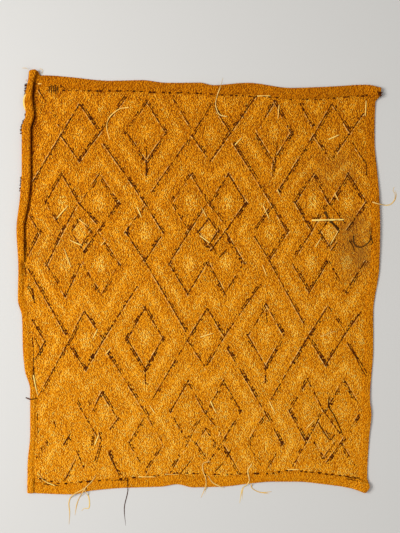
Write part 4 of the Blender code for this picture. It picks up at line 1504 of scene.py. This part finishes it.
# Loose raffia
# The sewing left ends that hang past the edges, floats that skip over the wrong side and
# one knotted end. Each is a strip of raffia that is half closed along its length; it
# twists, thins out towards its tip, and the long ends split there.
RAFFIA_WIDTH, RAFFIA_THICKNESS, REST_GAP = 1.5 * MM, 0.8 * MM, 0.3 * MM
STRIP_STEP, STRAND_SLOPE, CURVE_STEPS = 1.8 * MM, 0.75, 12
STRIP_SECTION = [(-1, 0.35), (-0.55, 0.0), (0.45, 0.0), (1, 0.45), (0.5, 0.35), (-0.5, 0.3)]
MOST_TWIST, TWIST_LENGTH = 1.0, 14 * MM         # radians, and the length over which it changes
TIP_START = 0.6                                 # share of a strip after which it thins out
LOOSE_ENDS = {
    "end_top": [(45, 249), (33, 253), (28, 267), (30, 279), (35, 294), (39, 308)],
    "end_right": [(262, 121), (272, 118), (288, 117), (296, 124), (297, 133), (294, 139), (296, 144)],
    "end_middle": [(20, -267), (9, -270), (9, -281), (13, -293), (12, -307), (6, -322)],
    "end_middle_short": [(17, -289), (24, -299), (41, -307)],
    "end_fork_long": [(82, -271), (76, -281), (78, -296), (68, -309), (64, -330)],
    "end_fork_short": [(81, -300), (83, -308), (96, -314), (112, -313)],
}
DARK_END = [(-104, -291), (-104, -313), (-109, -337), (-107, -364)]
KNOT_PLACE = (-168, -307)
KNOT_TAILS = [
    [(-168, -307), (-158, -297), (-151, -288)],
    [(-168, -307), (-186, -317), (-192, -329), (-191, -345), (-192, -362)],
    [(-168, -307), (-179, -328), (-183, -348)],
    [(-168, -307), (-162, -323), (-162, -337), (-169, -338), (-173, -342)],
]
FLOATS = [
    # x1_mm, y1_mm, x2_mm, y2_mm, width_mm, bow_mm
    (172, 94, 220, 95, 3.0, 1.0),
    (-190, 64, -172, 56, 1.9, 0.9),
    (-210, 97, -193, 116, 1.6, 1.0),
    (-177, 95, -162, 84, 1.6, 0.8),
    (-199, 51, -189, 24, 1.3, 0.8),
    (4, 71, 19, 60, 1.4, 0.7),
    (199, 57, 212, 79, 1.3, 0.8),
    (123, 267, 121, 246, 1.3, 0.7),
    (253, 273, 252, 250, 1.3, 0.6),
]
SMALL_FLOATS = [
    [(-144, 56), (-135, 66)],
    [(-90, 114), (-83, 98)],
    [(177, 54), (186, 68)],
    [(99, 116), (108, 96)],
    [(98, 27), (104, 11)],
    [(6, 114), (14, 99)],
    [(206, 135), (212, 123)],
    [(120, 140), (125, 129)],
    [(57, 207), (68, 219)],
    [(197, 215), (213, 222)],
    [(-102, 263), (-117, 260), (-131, 248), (-135, 233), (-131, 215)],
    [(-149, -69), (-156, -83)],
    [(-138, -108), (-128, -96)],
    [(-245, -138), (-239, -167)],
    [(-71, -183), (-63, -195)],
    [(5, -81), (24, -75)],
    [(185, -80), (206, -72)],
    [(108, -177), (117, -195)],
    [(20, -177), (29, -195)],
    [(162, -219), (177, -204)],
    [(32, -230), (35, -222)],
    [(-153, -242), (-147, -227)],
    [(-237, -285), (-228, -296), (-212, -303)],
    [(-88, -290), (-62, -290)],
    [(-48, -286), (-27, -286)],
    [(135, -279), (153, -279)],
    [(90, 280), (110, 280)],
    [(-238, 298), (-232, 298)],
]
WIDE_DARK = [
    [(199, 93), (206, 86), (213, 78)],
    [(191, 107), (196, 98)],
]
PULLED_ROWS = [
    [(-221.5, 295), (-221, 285)],
    [(-218.3, 297), (-217.8, 282)],
    [(-215.1, 295), (-214.6, 284)],
    [(-211.9, 297), (-211.4, 281)],
    [(-208.7, 294), (-208.2, 285)],
]
SMUDGE_CURL = [
    [(234, 71), (235, 60), (241, 54), (249, 55), (258, 63), (260, 76), (260, 84)],
    [(259, 70), (262, 61), (259, 57)],
    [(228, 64), (233, 56), (236, 47)],
]
DARK_FLOATS = [
    [(20, 60), (30, 42)],
    [(33, 38), (45, 51)],
    [(21, 62), (30, 77)],
    [(27, -282), (39, -269)],
    [(44, -260), (51, -249)],
    [(180, -207), (198, -234), (206, -227)],
    [(198, -170), (197, -185), (206, -200), (218, -227)],
    [(-257, -172), (-248, -174), (-239, -172)],
    [(172, 97), (186, 98)],
]


def even_route(route, step):
    """Evenly spaced places, in metres, on a smooth curve through a route's points."""
    points = np.array(route, float) * MM
    ends = np.concatenate([[2 * points[0] - points[1]], points, [2 * points[-1] - points[-2]]])
    fine = []
    for a, b, c, d in zip(ends, ends[1:], ends[2:], ends[3:]):
        for i in range(CURVE_STEPS):
            t = i / CURVE_STEPS
            fine.append(
                0.5 * (2 * b + (c - a) * t + (2 * a - 5 * b + 4 * c - d) * t**2
                       + (3 * b - a - 3 * c + d) * t**3)
            )
    fine = np.array([*fine, points[-1]])
    walked = np.concatenate([[0.0], np.cumsum(np.hypot(*np.diff(fine, axis=0).T))])
    places = np.linspace(0, walked[-1], max(5, round(walked[-1] / step)) + 1)
    return np.stack([np.interp(places, walked, fine[:, k]) for k in (0, 1)], -1)


def headings(path):
    ahead = np.gradient(path, axis=0)
    return ahead / np.linalg.norm(ahead, axis=1)[:, None]


def surface_height(x, y):
    """Top of the cloth under a place, or None beside it."""
    return cloth_surface.ray_cast(Vector((x, y, PROBE_HEIGHT)), Vector((0, 0, -1)))[0]


def resting_heights(path, width):
    """Heights at which a strip lies on the cloth and the floor, nowhere too steep."""
    heights = []
    for place, ahead in zip(path, headings(path)):
        aside = np.array([-ahead[1], ahead[0]])
        top = 0.0
        for forward in (-1, 0, 1):
            for across in (-0.6, 0, 0.6):
                hit = surface_height(*(place + ahead * forward * STRIP_STEP + aside * across * width))
                if hit is not None:
                    top = max(top, hit.z + REST_GAP)
        heights.append(top)
    drop = STRAND_SLOPE * STRIP_STEP
    for i in range(1, len(heights)):
        heights[i] = max(heights[i], heights[i - 1] - drop)
    for i in reversed(range(len(heights) - 1)):
        heights[i] = max(heights[i], heights[i + 1] - drop)
    return np.array(heights)


def add_strip(shape, path, width, seed, tip=0.35, bow=0.0, heights=None):
    """One strip of raffia along a path, seated on what lies under it."""
    draw = np.random.default_rng(seed)
    if heights is None:
        heights = resting_heights(path, width)
    share = np.linspace(0, 1, len(path))
    heights = heights + bow * np.sin(math.pi * share)
    length = STRIP_STEP * len(path)
    knots = max(2, round(length / TWIST_LENGTH) + 1)
    twist = np.interp(share, np.linspace(0, 1, knots), draw.uniform(-MOST_TWIST, MOST_TWIST, knots))
    thin = mix(1.0, tip, smooth((share - TIP_START) / (1 - TIP_START)))
    tone = draw.uniform(0.2, 0.8)
    rings = []
    for place, ahead, low, turn, size in zip(path, headings(path), heights, twist, thin):
        aside = np.array([-ahead[1], ahead[0]])
        section = [(a * width / 2 * size, b * RAFFIA_THICKNESS * size) for a, b in STRIP_SECTION]
        turned = [(a * math.cos(turn) - b * math.sin(turn), a * math.sin(turn) + b * math.cos(turn))
                  for a, b in section]
        lowest = min(b for a, b in turned)
        ring = []
        for a, b in turned:
            x, y = place + aside * a
            ring.append(shape.verts.new((x, y, low + b - lowest)))
            ring[-1][shape.verts.layers.float["tone"]] = tone
        rings.append(ring)
    sides = len(STRIP_SECTION)
    for a, b in zip(rings, rings[1:]):
        for k in range(sides):
            m = (k + 1) % sides
            shape.faces.new((a[k], a[m], b[m], b[k]))
    shape.faces.new(list(reversed(rings[0])))
    shape.faces.new(rings[-1])


def add_split(shape, path, start, end, spread, width, seed):
    """Finer fibre that leaves a strip part of the way and parts from it."""
    share = np.linspace(0, 1, len(path))
    chosen = (share >= start) & (share <= end)
    apart = spread * np.maximum((share - start) / (end - start), 0) ** 1.6
    ahead = headings(path)
    aside = np.stack([-ahead[:, 1], ahead[:, 0]], -1)
    route = (path + aside * np.where(chosen, apart, 0)[:, None])[chosen]
    add_strip(shape, route, width, seed, tip=0.25)


def new_strips():
    shape = bmesh.new()
    shape.verts.layers.float.new("tone")
    return shape


def strips_piece(name, shape, finish, replaced=()):
    """Turn finished strips into one piece of the scene."""
    bmesh.ops.recalc_face_normals(shape, faces=shape.faces)
    mesh = bpy.data.meshes.new(name)
    shape.to_mesh(mesh)
    shape.free()
    mesh.polygons.foreach_set("use_smooth", [True] * len(mesh.polygons))
    made = new_piece(name, mesh, finish)
    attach(made, "root")
    if replaced:
        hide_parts(*replaced)
    return made


loose_pale = stitch_finish("pale_loose_raffia", from_srgb(214, 156, 66), from_srgb(255, 226, 138), 0.6)
floats_pale = stitch_finish("pale_float_raffia", from_srgb(250, 178, 66), from_srgb(255, 232, 132), 0.6)

strips = new_strips()
for number, route in enumerate(LOOSE_ENDS.values()):
    path = even_route(route, STRIP_STEP)
    add_strip(strips, path, RAFFIA_WIDTH, seed=number)
    if number in (1, 2, 4, 5):
        add_split(strips, path, 0.5, 0.92, 3.2 * MM * (-1) ** number, 0.6 * RAFFIA_WIDTH, seed=number + 20)
strips_piece("loose_ends", strips, loose_pale, replaced=LOOSE_ENDS)

strips = new_strips()
add_strip(strips, even_route(DARK_END, STRIP_STEP), 0.8 * RAFFIA_WIDTH, seed=31)
strips_piece("dark_end", strips, dark_finish, replaced=["end_brown"])

strips = new_strips()
for number, (x1, y1, x2, y2, width, bow) in enumerate(FLOATS):
    path = even_route([(x1, y1), (x2, y2)], STRIP_STEP)
    add_strip(strips, path, width * MM, seed=number + 40, tip=0.7, bow=bow * MM)
float_nodes = [
    "float_long", "float_left_bar", "float_left_upper", "float_left_middle", "float_left_lower",
    "float_centre", "float_right", "float_top", "float_corner",
]
strips_piece("long_floats", strips, floats_pale, replaced=float_nodes)

for name, table, finish, slot in (
    ("small_floats", SMALL_FLOATS, floats_pale, "pale_raffia"),
    ("dark_floats", DARK_FLOATS, dark_finish, "brown_raffia"),
):
    strips = new_strips()
    for number, route in enumerate(table):
        path = even_route(route, STRIP_STEP)
        add_strip(strips, path, 1.6 * MM, seed=number + 60, tip=0.6, bow=0.5 * MM)
    strips_piece(name, strips, finish)

strips = new_strips()
for number, route in enumerate(WIDE_DARK):
    add_strip(strips, even_route(route, STRIP_STEP), 3.6 * MM, seed=number + 130, tip=0.6, bow=0.3 * MM)
for number, route in enumerate(SMUDGE_CURL):
    add_strip(strips, even_route(route, STRIP_STEP), 1.7 * MM, seed=number + 140, tip=0.5)
for number, route in enumerate(PULLED_ROWS):
    add_strip(strips, even_route(route, STRIP_STEP), 1.2 * MM, seed=number + 150, tip=0.5)
curl_finish = stitch_finish("smudged_raffia", from_srgb(48, 28, 6), from_srgb(98, 62, 22), 0.8)
strips_piece("smudged_strips", strips, curl_finish)

# Pile and fuzz at the edges
# Dark pile of the side that lies down peeks out under the left roll, where a pale strip
# of the front also shows, and short frayed fibres stand off all the edges.
PILE_SPACING, PILE_LENGTH, PILE_WIDTH = 1.1, 7.5, 2.0          # mm
PILE = [
    # y_mm from and to, and how far past the edge in mm
    (299, 284, 2.0),
    (256, 250, 2.8),
    (248, 225, 3.8),
    (162, 139, 3.4),
]
CORNER_TUFT = [
    [(269, 284), (277, 284)],
    [(269, 283), (277, 281)],
    [(269, 282), (276, 279)],
    [(270, 281), (274, 277)],
]
PALE_FOLD = [(-254.5, 283), (-257.4, 275), (-257.8, 267), (-255.6, 257)]
PALE_FOLD_WIDTH, PALE_FOLD_HEIGHT = 3.4 * MM, 6.8 * MM
WISPS = [
    [(-262, 322), (-256, 321), (-250, 317)],
    [(-236, 322), (-231, 319), (-234, 312)],
]
WISP_WIDTH = 0.5 * MM
FUZZ_COUNT, FUZZ_LENGTH, FUZZ_WIDTH = 460, 2.6, 0.5


def edge_at(name, share):
    """Place on an edge and the direction out of the cloth there, in millimetres."""
    x, y = on_edge(name, np.array([share, share + 0.002]))
    along = np.array([x[1] - x[0], y[1] - y[0]])
    along /= np.linalg.norm(along)
    turn = -1 if name in ("low", "right") else 1
    return np.array([x[0], y[0]]) / MM, turn * np.array([-along[1], along[0]])


draw = np.random.default_rng(12)
strips = new_strips()
for number, route in enumerate(WISPS):
    add_strip(strips, even_route(route, STRIP_STEP), WISP_WIDTH, seed=320 + number)
strips_piece("corner_wisps", strips, loose_pale)

strips = new_strips()
for number, (y_from, y_to, out) in enumerate(PILE):
    for y in np.arange(y_to, y_from, PILE_SPACING):
        (x,) = through(EDGES["left"], np.array([y]))
        y_end = y + draw.uniform(-2.5, 1.0)
        path = even_route([(x[0] + PILE_LENGTH - out, y), (x[0] - out * draw.uniform(0.5, 1.0), y_end)], STRIP_STEP)
        heights = np.linspace(2.4 * MM, 0.3 * MM, len(path))
        add_strip(strips, path, PILE_WIDTH * MM, seed=int(200 + y), tip=0.7, heights=heights)
for number, route in enumerate(CORNER_TUFT):
    add_strip(strips, even_route(route, STRIP_STEP), PILE_WIDTH * MM, seed=300 + number, tip=0.5)
strips_piece("dark_pile", strips, dark_finish)

strips = new_strips()
path = even_route(PALE_FOLD, STRIP_STEP)
add_strip(strips, path, PALE_FOLD_WIDTH, seed=5, tip=0.3, heights=np.full(len(path), PALE_FOLD_HEIGHT))
strips_piece("pale_fold", strips, floats_pale)

strips = new_strips()
for number in range(FUZZ_COUNT):
    name = ("top", "low", "left", "right")[number % 4]
    place, out = edge_at(name, draw.uniform(0.01, 0.985))
    way = out * draw.uniform(0.2, 1.0) + np.array([-out[1], out[0]]) * draw.uniform(-1.0, 1.0)
    start, end = place - 1.2 * out, place + way * draw.uniform(0.4, 1.0) * FUZZ_LENGTH / 2
    path = even_route([tuple(start), tuple(end)], 0.6 * MM)
    heights = np.full(len(path), draw.uniform(0.5, 1.6) * MM)
    add_strip(strips, path, FUZZ_WIDTH * MM, seed=number, heights=heights)
fuzz_finish = stitch_finish("ochre_fibre", DULL_OCHRE, LIGHT_OCHRE, 0.8)
strips_piece("edge_fuzz", strips, fuzz_finish)

# Knotted end
# One end is tied in an overhand knot just past the bottom edge, with four tails.
KNOT_SIZE = (5.2 * MM, 4.6 * MM, 3.6 * MM)
KNOT_STEPS, KNOT_SIDES, KNOT_STRAND = 54, 6, 0.62 * MM
strips = new_strips()
for number, route in enumerate(KNOT_TAILS):
    add_strip(strips, even_route(route, STRIP_STEP), RAFFIA_WIDTH, seed=number + 90)
low = resting_heights(even_route([KNOT_PLACE, (KNOT_PLACE[0] + 4, KNOT_PLACE[1])], STRIP_STEP), KNOT_SIZE[1])[0]
centre = np.array([KNOT_PLACE[0] * MM, KNOT_PLACE[1] * MM, low + KNOT_SIZE[2] / 2])
around = np.arange(KNOT_STEPS) * 2 * math.pi / KNOT_STEPS
loop = np.stack([
    np.sin(around) + 2 * np.sin(2 * around),
    np.cos(around) - 2 * np.cos(2 * around),
    -np.sin(3 * around),
], -1)
loop *= (np.array(KNOT_SIZE) / 2 - KNOT_STRAND) / np.abs(loop).max(axis=0)
rings = []
for k, place in enumerate(loop):
    ahead = Vector(loop[(k + 1) % KNOT_STEPS] - loop[k - 1]).normalized()
    aside = ahead.cross(Vector(place)).normalized()
    outward = aside.cross(ahead)
    ring = []
    for i in range(KNOT_SIDES):
        turn = 2 * math.pi * i / KNOT_SIDES
        offset = (aside * math.cos(turn) + outward * math.sin(turn)) * KNOT_STRAND
        ring.append(strips.verts.new(Vector(centre + place) + offset))
        ring[-1][strips.verts.layers.float["tone"]] = 0.5
    rings.append(ring)
for a, b in zip(rings, rings[1:] + rings[:1]):
    for i in range(KNOT_SIDES):
        m = (i + 1) % KNOT_SIDES
        strips.faces.new((a[i], b[i], b[m], a[m]))
strips_piece("knotted_end", strips, loose_pale, replaced=["end_knot"])
